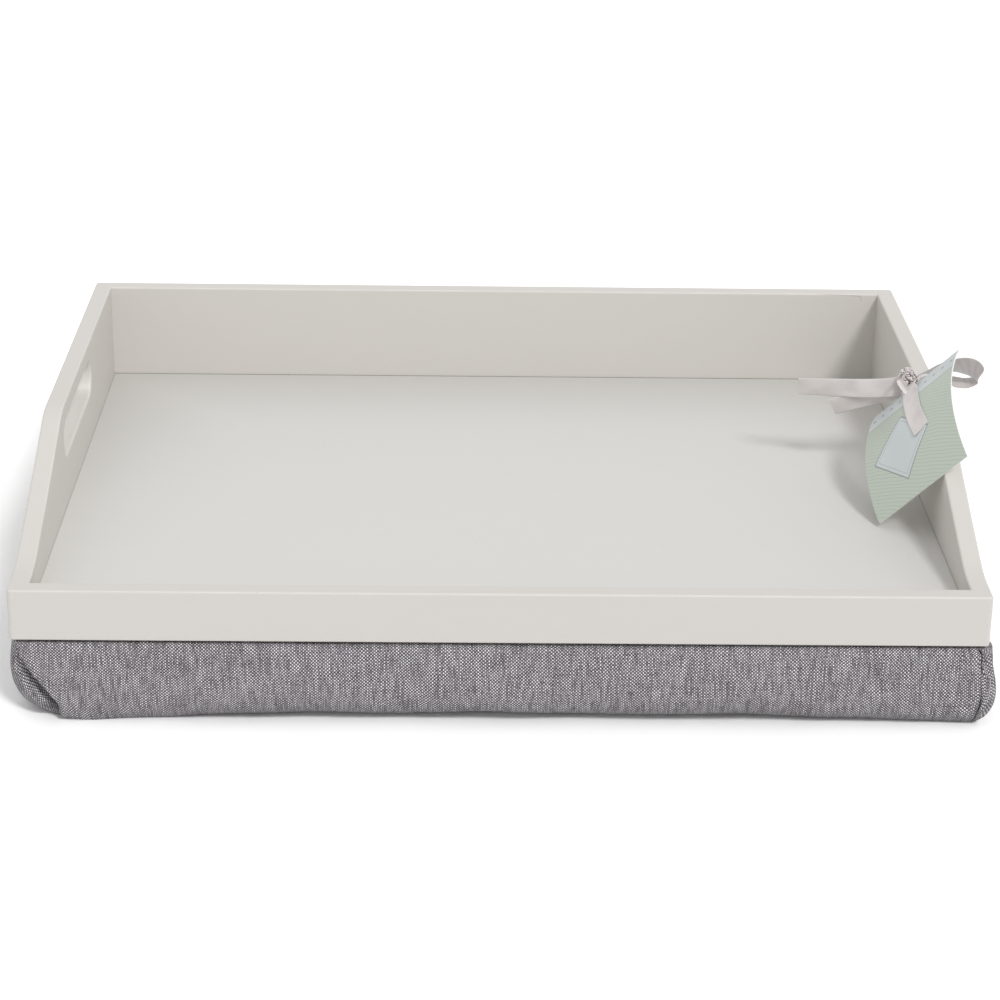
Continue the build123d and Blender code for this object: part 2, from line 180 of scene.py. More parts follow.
class Finish(Graph):
    """A material, mixed step by step."""

    def __init__(self, name, **fixed):
        self.material = bpy.data.materials.new(name)
        self.material.use_nodes = True
        super().__init__(self.material.node_tree)
        self.shader = self.tree.nodes["Principled BSDF"]
        for socket, value in fixed.items():
            self.shader.inputs[socket.replace("_", " ")].default_value = value

    def feed(self, **flows):
        for name, flow in flows.items():
            self.tree.links.new(flow.socket, self.shader.inputs[name.replace("_", " ")])

    def place(self):
        """Place on the object, in metres in the shared frame."""
        return self.node("ShaderNodeTexCoord", output="Object")

    def noise(self, place, counts, detail=2.0, shift=(0, 0, 0)):
        """Cloudy noise from 0 to 1, with so many clouds to the metre along each axis."""
        spread = {0: place, 1: counts, 2: shift}
        scaled = self.node("ShaderNodeVectorMath", {"operation": "MULTIPLY_ADD"}, spread)
        return self.node("ShaderNodeTexNoise", None, {"Vector": scaled, "Scale": 1.0, "Detail": detail})

    def mix(self, share, first, second):
        """Two colours mixed by a share."""
        colours = {6: first, 7: second}
        for socket, colour in colours.items():
            if not isinstance(colour, Flow):
                colours[socket] = (*colour, 1)
        return self.node("ShaderNodeMix", {"data_type": "RGBA"}, {0: share, **colours}, output=2)

    def relief(self, height, depth):
        """A bump of the given depth in metres, where the height goes from 0 to 1."""
        bump = {"Strength": 1.0, "Distance": depth, "Height": height}
        self.feed(Normal=self.node("ShaderNodeBump", None, bump))

    def hollowed(self, pattern, colour, hollow_shade_share, depth):
        """A colour with painted shade in the hollows of a pattern, and the pattern's own relief."""
        self.feed(Base_Color=self.mix(pattern, toned(colour, hollow_shade_share), colour))
        self.relief(pattern, depth)


def toned(colour, share):
    """A colour made darker or paler by a share."""
    return [part * share for part in colour]


def new_piece(name, mesh, finish):
    """A new object in the scene, with its finish."""
    piece = bpy.data.objects.new(name, mesh)
    bpy.context.scene.collection.objects.link(piece)
    mesh.materials.append(finish.material)
    return piece


floor_finish = Finish("floor", Roughness=0.9, Specular_IOR_Level=0.1)
seen = floor_finish.node("ShaderNodeLightPath", output="Is Camera Ray")
floor_finish.feed(Base_Color=floor_finish.mix(seen, (floor_shade,) * 3, (floor_seen_shade,) * 3))
floor_mesh = bpy.data.meshes.new("floor")
floor_corners = [(-floor_reach, -floor_reach, 0), (floor_reach, -floor_reach, 0),
                 (floor_reach, floor_reach, 0), (-floor_reach, floor_reach, 0)]
floor_mesh.from_pydata(floor_corners, [], [(0, 1, 2, 3)])
new_piece("floor", floor_mesh, floor_finish)

world = bpy.data.worlds.new("studio")
world.use_nodes = True
bpy.context.scene.world = world
background = world.node_tree.nodes["Background"]
background.inputs["Color"].default_value = (1, 1, 1, 1)
sky = Graph(world.node_tree)
from_behind = sky.axis(sky.node("ShaderNodeTexCoord", output="Generated"), "Y")
sky_light = sky.node("ShaderNodeMapRange", None, {"Value": from_behind, "From Min": -1.0, "From Max": 1.0,
                                                  "To Min": sky_front_strength, "To Max": sky_back_strength})
seen_sky = sky.node("ShaderNodeLightPath", output="Is Camera Ray").at_least(
    sky.node("ShaderNodeLightPath", output="Is Glossy Ray"))
sky_strength = sky.node("ShaderNodeMapRange", None, {"Value": seen_sky, "To Min": sky_light, "To Max": 1.0})
world.node_tree.links.new(sky_strength.socket, background.inputs["Strength"])

lamp_data = bpy.data.lights.new("lamp", "SUN")
lamp_data.energy = lamp_strength
lamp_data.angle = lamp_breadth
lamp = bpy.data.objects.new("lamp", lamp_data)
bpy.context.scene.collection.objects.link(lamp)
lamp.rotation_euler = lamp_direction.to_track_quat("Z", "Y").to_euler()

# Boards of the tray
# Four boards about 9 mm thick, butted and pinned at the corners, sanded and sprayed a
# warm pale grey with a satin lacquer. The edges that hands rub are a little paler.
paint_colour = (0.615, 0.589, 0.557)
rubbed_colour = (0.71, 0.685, 0.655)
grime_colour = (0.42, 0.37, 0.33)
paint_roughness = 0.46
paint_relief = 0.00004
grain_along, grain_across = 9, 420
cloud_counts = (14, 14, 14)
stipple_counts = (900, 900, 900)
rubbed_counts = (60, 60, 60)
speck_counts = (520, 520, 520)


def scratch(finish, place, start, end, width):
    """A thin line between two places, as a share from 0 to 1."""
    along = Vector(end) - Vector(start)
    from_start = finish.vectors("SUBTRACT", place, start)
    run = finish.vectors("DOT_PRODUCT", from_start, along / along.length_squared, "Value")
    run = run.at_least(0).at_most(1)
    nearest = finish.node("ShaderNodeVectorMath", {"operation": "SCALE"}, {0: along, "Scale": run})
    return 1 - finish.vectors("DISTANCE", from_start, nearest, "Value").rise(width * 0.4, width)


def painted(name, along, marks=(), colour=paint_colour):
    """Sprayed paint over sanded board, whose grain runs along X or Y and just shows through.

    Marks are scratches. The finish keeps its colour, so that more can be laid over it.
    """
    finish = Finish(name, Roughness=paint_roughness, Specular_IOR_Level=0.35)
    place = finish.place()
    if along == "X":
        grain = finish.noise(place, (grain_along, grain_across, grain_across), 3.0)
    else:
        grain = finish.noise(place, (grain_across, grain_along, grain_across), 3.0)
    cloud = finish.noise(place, cloud_counts, 2.0, (3, 5, 7))
    stipple = finish.noise(place, stipple_counts, 1.0)
    normal = finish.node("ShaderNodeTexCoord", output="Normal")
    tilt = finish.node("ShaderNodeVectorMath", {"operation": "ABSOLUTE"}, {0: normal})
    level = finish.axis(tilt, "X").at_least(finish.axis(tilt, "Y")).at_least(finish.axis(tilt, "Z"))
    edge = (1 - level).rise(0.1, 0.26) * finish.noise(place, rubbed_counts, 3.0, (1, 2, 3)).rise(0.35, 0.62)
    colour = finish.mix((cloud - 0.5) * 0.5 + 0.5, toned(colour, 0.985), toned(colour, 1.015))
    colour = finish.mix(edge * 0.7, colour, rubbed_colour)
    speck = finish.noise(place, speck_counts, 0.0, (11, 4, 9)).rise(0.86, 0.9)
    colour = finish.mix(speck * 0.3, colour, grime_colour)
    for start, end, width, mark_strength in marks:
        colour = finish.mix(scratch(finish, place, start, end, width) * mark_strength, colour, grime_colour)
    finish.colour = colour
    finish.feed(Base_Color=colour, Roughness=paint_roughness + (grain - 0.5) * 0.12 + edge * 0.08)
    finish.relief(grain * 0.5 + stipple * 0.35 + cloud * 0.4, paint_relief)
    return finish


def dress(node, finish):
    """Gives a node of the frame its finish."""
    slots = nodes[node].material_slots
    if slots:
        for slot in slots:
            slot.material = finish.material
    else:
        nodes[node].data.materials.append(finish.material)


inner_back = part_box("back_wall")[0].y
inner_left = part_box("left_side")[1].x
# Each scratch: its start, its end, its width and how dark it is
back_marks = [((0.1760, inner_back, 0.1040), (0.2018, inner_back, 0.1028), 0.0005, 0.5),
              ((0.2018, inner_back, 0.1028), (0.2022, inner_back, 0.1003), 0.0005, 0.35)]
left_marks = [((inner_left, -0.0670, 0.0679), (inner_left, -0.0684, 0.0638), 0.0006, 0.4)]
dress("front_rail", painted("front_rail_paint", "X"))
dress("back_wall", painted("back_wall_paint", "X", back_marks))
dress("left_side", painted("left_side_paint", "Y", left_marks))
dress("right_side", painted("right_side_paint", "Y"))

# Base panel
# A thin painted board that slides in a groove round the four walls before the last of
# them is pinned on. Its colour is darker near the back and left walls, as painted shade
# from the walls, and a dark line shows where it meets them.
panel_colour = (0.640, 0.630, 0.606)
painted_wall_shade_colour = (0.505, 0.498, 0.474)
wall_shade_reach = 0.11
wall_shade_start = 0.02
left_wall_shade_fade = (0.04, 0.24)
joint_width = 0.0007
joint_colour = (0.16, 0.15, 0.13)
panel_finish = painted("base_panel_paint", "X", (), panel_colour)
place = panel_finish.place()
from_left = panel_finish.axis(place, "X") - inner_left
from_back = inner_back - panel_finish.axis(place, "Y")
from_side = abs(inner_left) - abs(panel_finish.axis(place, "X"))
# Painted shade: the panel's colour darkens towards the left and back walls
left_wall_shade = (1 - (from_left + wall_shade_start).rise(0, wall_shade_reach)) * (1 - from_back.rise(*left_wall_shade_fade))
wall_shade = left_wall_shade.at_least(1 - (from_back + wall_shade_start).rise(0, wall_shade_reach))
colour = panel_finish.mix(wall_shade * 0.75, panel_finish.colour, painted_wall_shade_colour)
back_joint = 1 - from_back.rise(joint_width * 0.8, joint_width)
side_joint = 1 - from_side.rise(joint_width * 0.6, joint_width)
joint = back_joint.at_least(side_joint * 0.4)
panel_finish.feed(Base_Color=panel_finish.mix(joint * 0.85, colour, joint_colour))
dress("base_panel", panel_finish)

# Panel pins
# Headed steel pins punched below the surface through the front rail and the back wall
# into the ends of the side panels, then filled and painted over.
pin_steel_colour = (0.56, 0.55, 0.53)
pin_line_counts = (3000, 90, 3000)
pin_relief = 0.00002
pin_finish = Finish("pin_steel", Metallic=1.0, Roughness=0.35)
pin_lines = pin_finish.noise(pin_finish.place(), pin_line_counts, 2.0)
pin_finish.feed(Roughness=0.25 + pin_lines * 0.25)
pin_finish.hollowed(pin_lines, pin_steel_colour, 0.8, pin_relief)
dress("front_corner_pins", pin_finish)
dress("back_corner_pins", pin_finish)

# Hook strips
# Four white nylon hook strips stuck under the base panel, one near the middle of each
# side. The tray holds to its cushion by them.
hook_pitch = 0.0016
hook_relief = 0.0008
hook_colour = (0.78, 0.78, 0.75)
strip_sides = ("front", "back", "left", "right")


def mounds(finish, pitch):
    """Rows of small mounds along X and Y, from 0 to 1."""
    place = finish.place()
    rows = (finish.axis(place, "X") * (pi / pitch)).sine()
    return abs(rows * (finish.axis(place, "Y") * (pi / pitch)).sine())


for side in strip_sides:
    hook_finish = Finish("hook_strip_" + side, Roughness=0.45)
    hooks = mounds(hook_finish, hook_pitch) ** 0.5
    hook_finish.hollowed(hooks, hook_colour, 0.55, hook_relief)
    dress("hook_strip_" + side, hook_finish)

# Bead filling and its liner
# Loose polystyrene beads in a thin sewn bag, so that they can be taken out when the
# cover is washed. Nothing of them shows while the cover is on.
bag_cuts = 28
bag_fill = 0.985
bag_fill_up = 0.94
bag_waist = 0.06
corner_pinch = 0.15
edge_fall = 0.35
bag_lumps = Vector((9, 7, 2))
bead_crush = 0.0006
bead_size = 0.0035
bead_relief = 0.0012
bead_colour = (0.86, 0.86, 0.85)
liner_crush = 0.0003
liner_pitch = 0.0005
liner_relief = 0.0002
liner_colour = (0.78, 0.77, 0.73)


def padded_piece(piece, node):
    """Puts a padded piece on the cushion, in its node's place."""
    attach(piece, "cushion")
    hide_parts(node)


def inner_bag(name, node, crush, finish):
    """A lumpy bag that fills its node of the frame, with pinched corners and a low crown."""
    low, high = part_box(node)
    middle = (low + high) / 2
    half = (high - low) / 2
    mesh = bpy.data.meshes.new(name)
    bag = bmesh.new()
    bmesh.ops.create_cube(bag, size=2)
    bmesh.ops.subdivide_edges(bag, edges=bag.edges[:], cuts=bag_cuts, use_grid_fill=True)
    for point in bag.verts:
        x, y, z = point.co
        drawn = 1 - bag_waist * abs(z) ** 3 - corner_pinch * abs(x * y) ** 8
        level = z * (1 - edge_fall * max(abs(x), abs(y)) ** 6)
        lump = crush * noise.noise(point.co * bag_lumps)
        point.co = middle + Vector((half.x * x * drawn * bag_fill, half.y * y * drawn * bag_fill,
                                    half.z * level * bag_fill_up + lump - crush))
    bag.to_mesh(mesh)
    bag.free()
    piece = new_piece(name, mesh, finish)
    bpy.context.view_layer.objects.active = piece
    rounding = piece.modifiers.new("rounding", "SUBSURF")
    rounding.levels = 1
    bpy.ops.object.modifier_apply(modifier=rounding.name)
    mesh.shade_smooth()
    padded_piece(piece, node)


def cells(finish, count):
    """How far each place is from the nearest of many scattered points, so many to the metre."""
    return finish.node("ShaderNodeTexVoronoi", {"feature": "F1"}, {"Vector": finish.place(), "Scale": count})


bead_finish = Finish("beads", Roughness=0.5)
domes = 1 - cells(bead_finish, 1 / bead_size).rise(0.1, 0.75)
bead_finish.hollowed(domes, bead_colour, 0.6, bead_relief)
inner_bag("bead_mass", "bead_filling", bead_crush, bead_finish)

liner_finish = Finish("liner", Roughness=0.85)
liner_finish.hollowed(mounds(liner_finish, liner_pitch), liner_colour, 0.8, liner_relief)
inner_bag("liner_bag", "bead_liner", liner_crush, liner_finish)

# Cushion cover
# A slubby grey plain-weave cloth, cut as one tray-shaped piece. At three corners the
# side's cloth is tucked behind the long face and left as an open fold; the fourth is
# pulled tight with a narrow crease. It stands on its flat underside.
tray_half_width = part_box("front_rail")[1].x
tray_half_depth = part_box("back_wall")[1].y
rim_gap = 0.0017
cushion_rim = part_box("front_rail")[0].z - rim_gap
side_bulge = 0.0029
front_bulge = 0.0012
underside_draw = 0.0165
draw_height_share = 0.6
draw_power = 4.6
tucked_draw_shares = (0.3, 0.28)
plain_draw_shares = (0.08, 0.5)
top_draw = 0.0032
top_roll_share = 0.955
plain_round = 0.0045
tucked_round = 0.030
least_round = 0.0015
top_round_share = 0.28
round_power = 1.25
fold_layer = 0.0012
tuck_length = 0.006
edge_roll = 0.0006
edge_roll_shares = ((0.0, 0.0), (0.6, 0.3), (0.9, 0.9), (0.6, 1.5))
edge_keep_share = 0.3
tuck_sink_share = 0.4
turn_sink_share = 0.65
most_sunk_share = 0.85
seam_inset = 0.006
seam_drop = 0.0003
body_rows = 46
straight_rows_share = 0.65
fold_rows_shares = (0.0, 0.06, 0.24, 0.42, 0.62, 0.81, 0.94, 1.0)


class Fold:
    """How one corner is folded: how far in its edge lies and how deep its pocket is, at each height.

    Run is how far the fold reaches at its widest, and mouth is how wide its pocket can be.
    """

    def __init__(self, run, mouth, run_shares, strength_shares, depths):
        self.run = run
        self.mouth = mouth
        self.run_shares = run_shares
        self.strength_shares = strength_shares
        self.depths = depths

    def at(self, height):
        rows = (self.run_shares, self.strength_shares, self.depths)
        share, strength, depth = (np.interp(height, fold_rows_shares, row) for row in rows)
        return self.run * share, strength, depth


wide_fold = Fold(0.021, 0.011, (1.0, 1.0, 0.98, 0.74, 0.45, 0.24, 0.1, 0.08),
                 (0.35, 1.0, 1.0, 1.0, 1.0, 0.8, 0.25, 0.0),
                 (0.0004, 0.0020, 0.0130, 0.0150, 0.0120, 0.0060, 0.0014, 0.0004))
narrow_fold = Fold(0.0055, 0.0018, (1.0, 1.0, 0.9, 0.8, 0.75, 0.8, 0.9, 1.0),
                   (0.5, 1.0, 1.0, 0.45, 0.15, 0.8, 1.0, 0.5),
                   (0.002, 0.0050, 0.0050, 0.0020, 0.0010, 0.0040, 0.0044, 0.0014))
corner_folds = {(1, -1): narrow_fold, (1, 1): wide_fold, (-1, 1): wide_fold, (-1, -1): wide_fold}


def smooth(share):
    """0 to 1, with an easy start and end."""
    share = min(max(share, 0), 1)
    return share * share * (3 - 2 * share)


def body_shape(height, tucked):
    """Half width, half depth, bows and corner round of the cushion at a share of its height."""
    draw = underside_draw * max(0, 1 - height / draw_height_share) ** draw_power
    draw += top_draw * max(0, (height - top_roll_share) / (1 - top_roll_share)) ** 2
    drawn_x, drawn_y = (draw * share for share in (tucked_draw_shares if tucked else plain_draw_shares))
    swell = sin(pi * height)
    round_share = top_round_share + (1 - top_round_share) * (1 - height) ** round_power
    half_x = tray_half_width - drawn_x + side_bulge * swell
    half_y = tray_half_depth - drawn_y
    front_bow = front_bulge * swell - draw + drawn_y
    side_bow = drawn_x - draw
    return half_x, half_y, front_bow, side_bow, (tucked_round if tucked else plain_round) * round_share


def quarter(height, fold, inset, steps):
    """One quarter of the cover's outline, from the middle of its long face to the middle of its side.

    Steps are the counts of points along the face, under the fold, round the corner and along the side.
    """
    face_steps, fold_steps, corner_steps, side_steps = steps
    half_x, half_y, front_bow, side_bow, radius = body_shape(height, fold is wide_fold)
    half_x, half_y, radius = half_x - inset, half_y - inset, max(radius - inset, least_round)
    run, strength, depth = fold.at(height)
    run, strength = max(run, radius * edge_keep_share), strength * (inset == 0)
    straight_x, straight_y = half_x - radius, half_y - radius
    edge_x = min(tray_half_width - run, half_x - radius * edge_keep_share)

    def straight_face(x):
        return half_y + front_bow * max(0, 1 - (x / straight_x) ** 2)

    def rounded_face(x):
        if x <= straight_x:
            return half_y + front_bow * (1 - (x / straight_x) ** 2)
        return straight_y + sqrt(max(radius ** 2 - (x - straight_x) ** 2, 0))

    def face_y(x):
        return rounded_face(x) * (1 - strength) + straight_face(x) * strength

    # The long face, the roll of its edge and the layer tucked in behind it
    points = []
    for step in range(face_steps):
        x = edge_x * sin(pi / 2 * step / face_steps)
        points.append((x, face_y(x)))
    edge_y = face_y(edge_x)
    for share_out, share_in in edge_roll_shares:
        points.append((edge_x + edge_roll * share_out * strength, edge_y - edge_roll * share_in * strength))
    tuck = tuck_length * strength
    under = edge_roll * 2 * strength
    for step in range(fold_steps):
        share = step / (fold_steps - 1)
        sink = (depth - under) * strength * tuck_sink_share * share ** 3
        points.append((edge_x - tuck * share, edge_y - under - sink))
    turn_index = len(points)
    pocket = max(depth, fold_layer) * strength
    points.append((edge_x - tuck - edge_roll * strength, edge_y - under - (pocket - under) * turn_sink_share))

    # Out of the pocket and round the corner to the side
    start_x = edge_x - tuck
    flat = max(straight_x - start_x, 0.0)
    start_angle = asin(min(max(start_x - straight_x, 0.0) / radius, 1))
    arc = radius * (pi / 2 - start_angle)
    rise = min(flat + arc - tuck, fold.mouth)
    for step in range(corner_steps):
        travel = (flat + arc) * (step / (corner_steps - 1)) ** 1.15
        sunk = pocket * (1 - smooth((travel - tuck) / rise))
        if travel < flat:
            points.append((start_x + travel, straight_face(start_x + travel) - sunk))
        else:
            angle = start_angle + (travel - flat) / radius
            reach = radius - min(sunk, radius * most_sunk_share)
            points.append((straight_x + reach * sin(angle), straight_y + reach * cos(angle)))
    for step in range(1, side_steps + 1):
        y = straight_y * cos(pi / 2 * step / side_steps)
        points.append((half_x + side_bow * (1 - (y / straight_y) ** 2), y))
    return points, turn_index


def outline(height, inset, level, steps):
    """One whole ring of the cover at a height, and where its four tucks turn."""
    ring = []
    turns = []
    for (side_x, side_y), fold in corner_folds.items():
        points, turn = quarter(height, fold, inset, steps)
        placed = [Vector((side_x * x, side_y * y, level)) for x, y in points]
        if side_x * side_y > 0:
            placed.reverse()
            turn = len(points) - 1 - turn
        turns.append(len(ring) + turn)
        ring.extend(placed[:-1])
    return ring, turns


def drawn_in(ring, share, level):
    """The same ring made smaller, at a level."""
    return [Vector((point.x * share, point.y * share, level)) for point in ring]


def cover_rings(rows, steps):
    """Rings from the seam on top, out to the rim, down the sides and in over the flat underside."""
    rings = []
    for share in (1.0, 0.66, 0.33):
        rings.append(outline(1.0, seam_inset * share, cushion_rim - seam_drop * share, steps)[0])
    turns = []
    for row in range(rows):
        down = row / (rows - 1)
        share = 1 - smooth(down) * (1 - straight_rows_share) - straight_rows_share * down
        ring, turns = outline(share, 0, cushion_rim * share, steps)
        rings.append(ring)
    last = rings[-1]
    for share in (0.985, 0.95, 0.88, 0.74, 0.5, 0.22):
        rings.append(drawn_in(last, share, 0))
    return rings, turns


def loft(rings):
    """A closed skin of quads through rings of points, with its last ring filled."""
    skin = bmesh.new()
    verts = [[skin.verts.new(point) for point in ring] for ring in rings]
    count = len(rings[0])
    for upper, lower in zip(verts, verts[1:]):
        for index in range(count):
            after = (index + 1) % count
            skin.faces.new((upper[index], lower[index], lower[after], upper[after]))
    middle = skin.verts.new(sum(rings[-1], Vector()) / count)
    for index in range(count):
        skin.faces.new((verts[-1][index], middle, verts[-1][(index + 1) % count]))
    return skin, verts


def smooth_mesh(name, skin):
    """The finished mesh of a skin."""
    mesh = bpy.data.meshes.new(name)
    skin.to_mesh(mesh)
    skin.free()
    mesh.shade_smooth()
    return mesh


# The filling's pressure comes from a coarse cloth simulation, which the fine cover follows
coarse_steps = (28, 2, 6, 20)
coarse_rows = 13
# Any inset, even one too small to see, leaves the folds out of an outline
coarse_inset = 1e-6
coarse_lip_share = 0.9
coarse_join = 0.001
swell_frames = 20
swell_limit = 0.0014
rim_hold = (0.006, 0.001)
foot_hold = 0.004
dart_hold = (0.06, 0.03)
evened_points = 14
evening = 4e-5
cloth_settings = {"quality": 6, "mass": 0.3, "tension_stiffness": 40, "compression_stiffness": 20,
                  "bending_stiffness": 6.0, "vertex_group_mass": "held", "use_pressure": True,
                  "uniform_pressure_force": 4, "shrink_min": -0.006, "air_damping": 5}


def held_share(point):
    """1 where the tray, the floor or a corner's darts hold the cloth, and 0 where it is free."""
    high = smooth((point.z - cushion_rim + rim_hold[0]) / (rim_hold[0] - rim_hold[1]))
    low = 1 - smooth(point.z / foot_hold)
    darted = smooth((abs(point.x) - tray_half_width + dart_hold[0]) / dart_hold[1])
    darted *= smooth((abs(point.y) - tray_half_depth + dart_hold[0]) / dart_hold[1])
    return max(high, low, darted)


def swollen(coarse_rings):
    """Places on a coarse cover, each with its move as the filling presses the cloth out."""
    skin, _ = loft(coarse_rings)
    bmesh.ops.remove_doubles(skin, verts=skin.verts[:], dist=coarse_join)
    mesh = smooth_mesh("swelling", skin)
    piece = bpy.data.objects.new("swelling", mesh)
    bpy.context.scene.collection.objects.link(piece)
    held = piece.vertex_groups.new(name="held")
    for point in mesh.vertices:
        held.add([point.index], held_share(point.co), "REPLACE")
    cloth = piece.modifiers.new("cloth", "CLOTH")
    for name, value in cloth_settings.items():
        setattr(cloth.settings, name, value)
    cloth.settings.effector_weights.gravity = 0
    cloth.point_cache.frame_end = swell_frames
    depsgraph = bpy.context.evaluated_depsgraph_get()
    for step in range(1, swell_frames + 1):
        bpy.context.scene.frame_set(step)
        depsgraph.update()
    pressed = piece.evaluated_get(depsgraph).to_mesh()
    moves = []
    for before, after in zip(mesh.vertices, pressed.vertices):
        move = after.co - before.co
        if move.length > swell_limit:
            move *= swell_limit / move.length
        moves.append((before.co.copy(), move))
    bpy.context.scene.frame_set(1)
    bpy.data.objects.remove(piece)
    return moves


class Moves:
    """Moves of the coarse cover's points, found by place."""

    def __init__(self, pairs):
        self.moves = [move for _, move in pairs]
        self.nearest = kdtree.KDTree(len(pairs))
        for index, (place, _) in enumerate(pairs):
            self.nearest.insert(place, index)
        self.nearest.balance()

    def at(self, point):
        """The move of a fine point, evened out over the nearest coarse ones."""
        total = Vector()
        weights = 0
        for _, index, distance in self.nearest.find_n(point, evened_points):
            weight = 1 / (distance ** 2 + evening)
            total += self.moves[index] * weight
            weights += weight
        return total / weights


lump_height = 0.0006
lump_counts = Vector((38, 38, 45))
pucker_height = 0.0003
pucker_counts = Vector((190, 190, 30))
pull_height = 0.00025
pull_waves = (260, 420)
pull_from = 0.12
pull_full = 0.06
pull_to = 0.19
pull_fade = 0.02


def creased(point, normal):
    """How the cloth lies unevenly: lumps of filling, puckers under the seam and pulls at the corners."""
    height = point.z / cushion_rim
    on_side = smooth(height * 6) * smooth((1 - height) * 9)
    lump = lump_height * noise.noise(point * lump_counts)
    pucker = pucker_height * noise.noise(point * pucker_counts) * smooth(height * 2 - 0.8)
    reach = abs(point.x)
    near_corner = smooth((reach - pull_from) / pull_full) * (1 - smooth((reach - pull_to) / pull_fade))
    pull = pull_height * sin(point.z * pull_waves[1] + reach * pull_waves[0]) * near_corner
    return normal * (lump + pucker + pull) * on_side


ear_move = Vector((0.0012, -0.0002, 0.0036))
ear_from_front = 0.008
ear_length = 0.007
ear_height_share = 0.9
ear_rise_share = 0.055
ear_reach = 0.012


def ear(point):
    """A small lip of cloth that stands up outside the tray's right front corner."""
    along = (point.y + tray_half_depth - ear_from_front) / ear_length
    up = (point.z / cushion_rim - ear_height_share) / ear_rise_share
    if point.x < tray_half_width - ear_reach:
        return Vector()
    return ear_move * np.exp(-along ** 2 - up ** 2)


press_move = Vector((0.0028, -0.0008, 0))
press_from_front = 0.012
press_length = 0.026
press_height_share = 0.42
press_rise_share = 0.34
press_reach = 0.016
pinch_move = Vector((0, 0.0018, 0))
pinch_height_share = 0.28
pinch_rise_share = 0.03
pinch_from_side = 0.0085
pinch_half_width = 0.003
pinch_from_front = 0.004


def corner_swell(point):
    """The filling presses the tight right front corner outwards, and a pinch draws its face in."""
    height = point.z / cushion_rim
    along = (point.y + tray_half_depth - press_from_front) / press_length
    up = (height - press_height_share) / press_rise_share
    share = smooth((point.x - tray_half_width + press_reach) / press_reach)
    press = press_move * share * np.exp(-along ** 2 - up ** 2)
    pinched = (height - pinch_height_share) / pinch_rise_share
    across = (point.x - tray_half_width + pinch_from_side) / pinch_half_width
    on_face = smooth((-tray_half_depth + pinch_from_front - point.y) / pinch_half_width)
    return press + pinch_move * on_face * np.exp(-pinched ** 2 - across ** 4)


def row_lengths(rings, start, end, middle, count):
    """How far along the cloth each column lies from a patch's middle, ring by ring."""
    table = []
    span = (end - start) % count
    reach = (middle - start) % count
    for ring in rings:
        lengths = [0.0]
        for step in range(span):
            gap = ring[(start + step + 1) % count] - ring[(start + step) % count]
            lengths.append(lengths[-1] + gap.length)
        table.append([length - lengths[reach] for length in lengths])
    return table


def lay_cloth(skin, verts, rings, turns, middles, flat_from):
    """Places on the cloth, in metres, so that the weave wraps round the cushion as four patches."""
    layer = skin.loops.layers.uv.new("Cloth")
    count = len(rings[0])
    down = [[0.0] * count]
    for upper, lower in zip(rings, rings[1:]):
        down.append([before + (b - a).length for before, a, b in zip(down[-1], upper, lower)])
    place_of = {}
    for row, ring in enumerate(verts):
        for column, vert in enumerate(ring):
            place_of[vert] = (row, column)
    patches = []
    for start, end, middle in zip(turns[-1:] + turns[:-1], turns, middles):
        patches.append((start, (end - start) % count, row_lengths(rings, start, end, middle, count)))
    for face in skin.faces:
        spots = [place_of.get(vert) for vert in face.verts]
        if None in spots or min(row for row, _ in spots) >= flat_from:
            for corner in face.loops:
                corner[layer].uv = corner.vert.co.xy
            continue
        columns = {column for _, column in spots}
        first = max(columns) if columns == {0, count - 1} else min(columns)
        for start, span, lengths in patches:
            if (first - start) % count < span:
                for corner, (row, column) in zip(face.loops, spots):
                    corner[layer].uv = (lengths[row][(column - start) % count], -down[row][column])
                break


fine_steps = (96, 7, 34, 66)
rim_rings = 3
edge_points = 5
join_reach = 1e-6
rings, turns = cover_rings(body_rows, fine_steps)
middles = [(sum(fine_steps) + edge_points) * turn for turn in range(4)]
cover_skin, cover_verts = loft(rings)
lay_cloth(cover_skin, cover_verts, rings, turns, middles, rim_rings + body_rows)
cover_skin.normal_update()
moves = None
coarse = []
for row in range(coarse_rows):
    share = 1 - row / (coarse_rows - 1)
    coarse.append(outline(share, coarse_inset, cushion_rim * share, coarse_steps)[0])
coarse.insert(0, drawn_in(coarse[0], coarse_lip_share, cushion_rim))
coarse.append(drawn_in(coarse[-1], coarse_lip_share, 0))
moves = Moves(swollen(coarse))
for vert in cover_skin.verts:
    shift = creased(vert.co, vert.normal) + ear(vert.co) + corner_swell(vert.co)
    if moves:
        shift += moves.at(vert.co)
    vert.co += shift
bmesh.ops.remove_doubles(cover_skin, verts=cover_skin.verts[:], dist=join_reach)
bmesh.ops.dissolve_degenerate(cover_skin, edges=cover_skin.edges[:], dist=join_reach / 10)
cover_mesh = smooth_mesh("cushion_cover_cloth", cover_skin)

yarn_pitch = 0.00078
yarn_relief = 0.00022
slub_counts = ((70, 70, 70), (60, 60, 60))
slub_sway = 2.4
gap_shade_colour = (0.02, 0.016, 0.02)
warp_colours = ((0.295, 0.272, 0.297), (0.99, 0.97, 0.99))
weft_colours = ((0.035, 0.03, 0.036), (0.24, 0.22, 0.242))


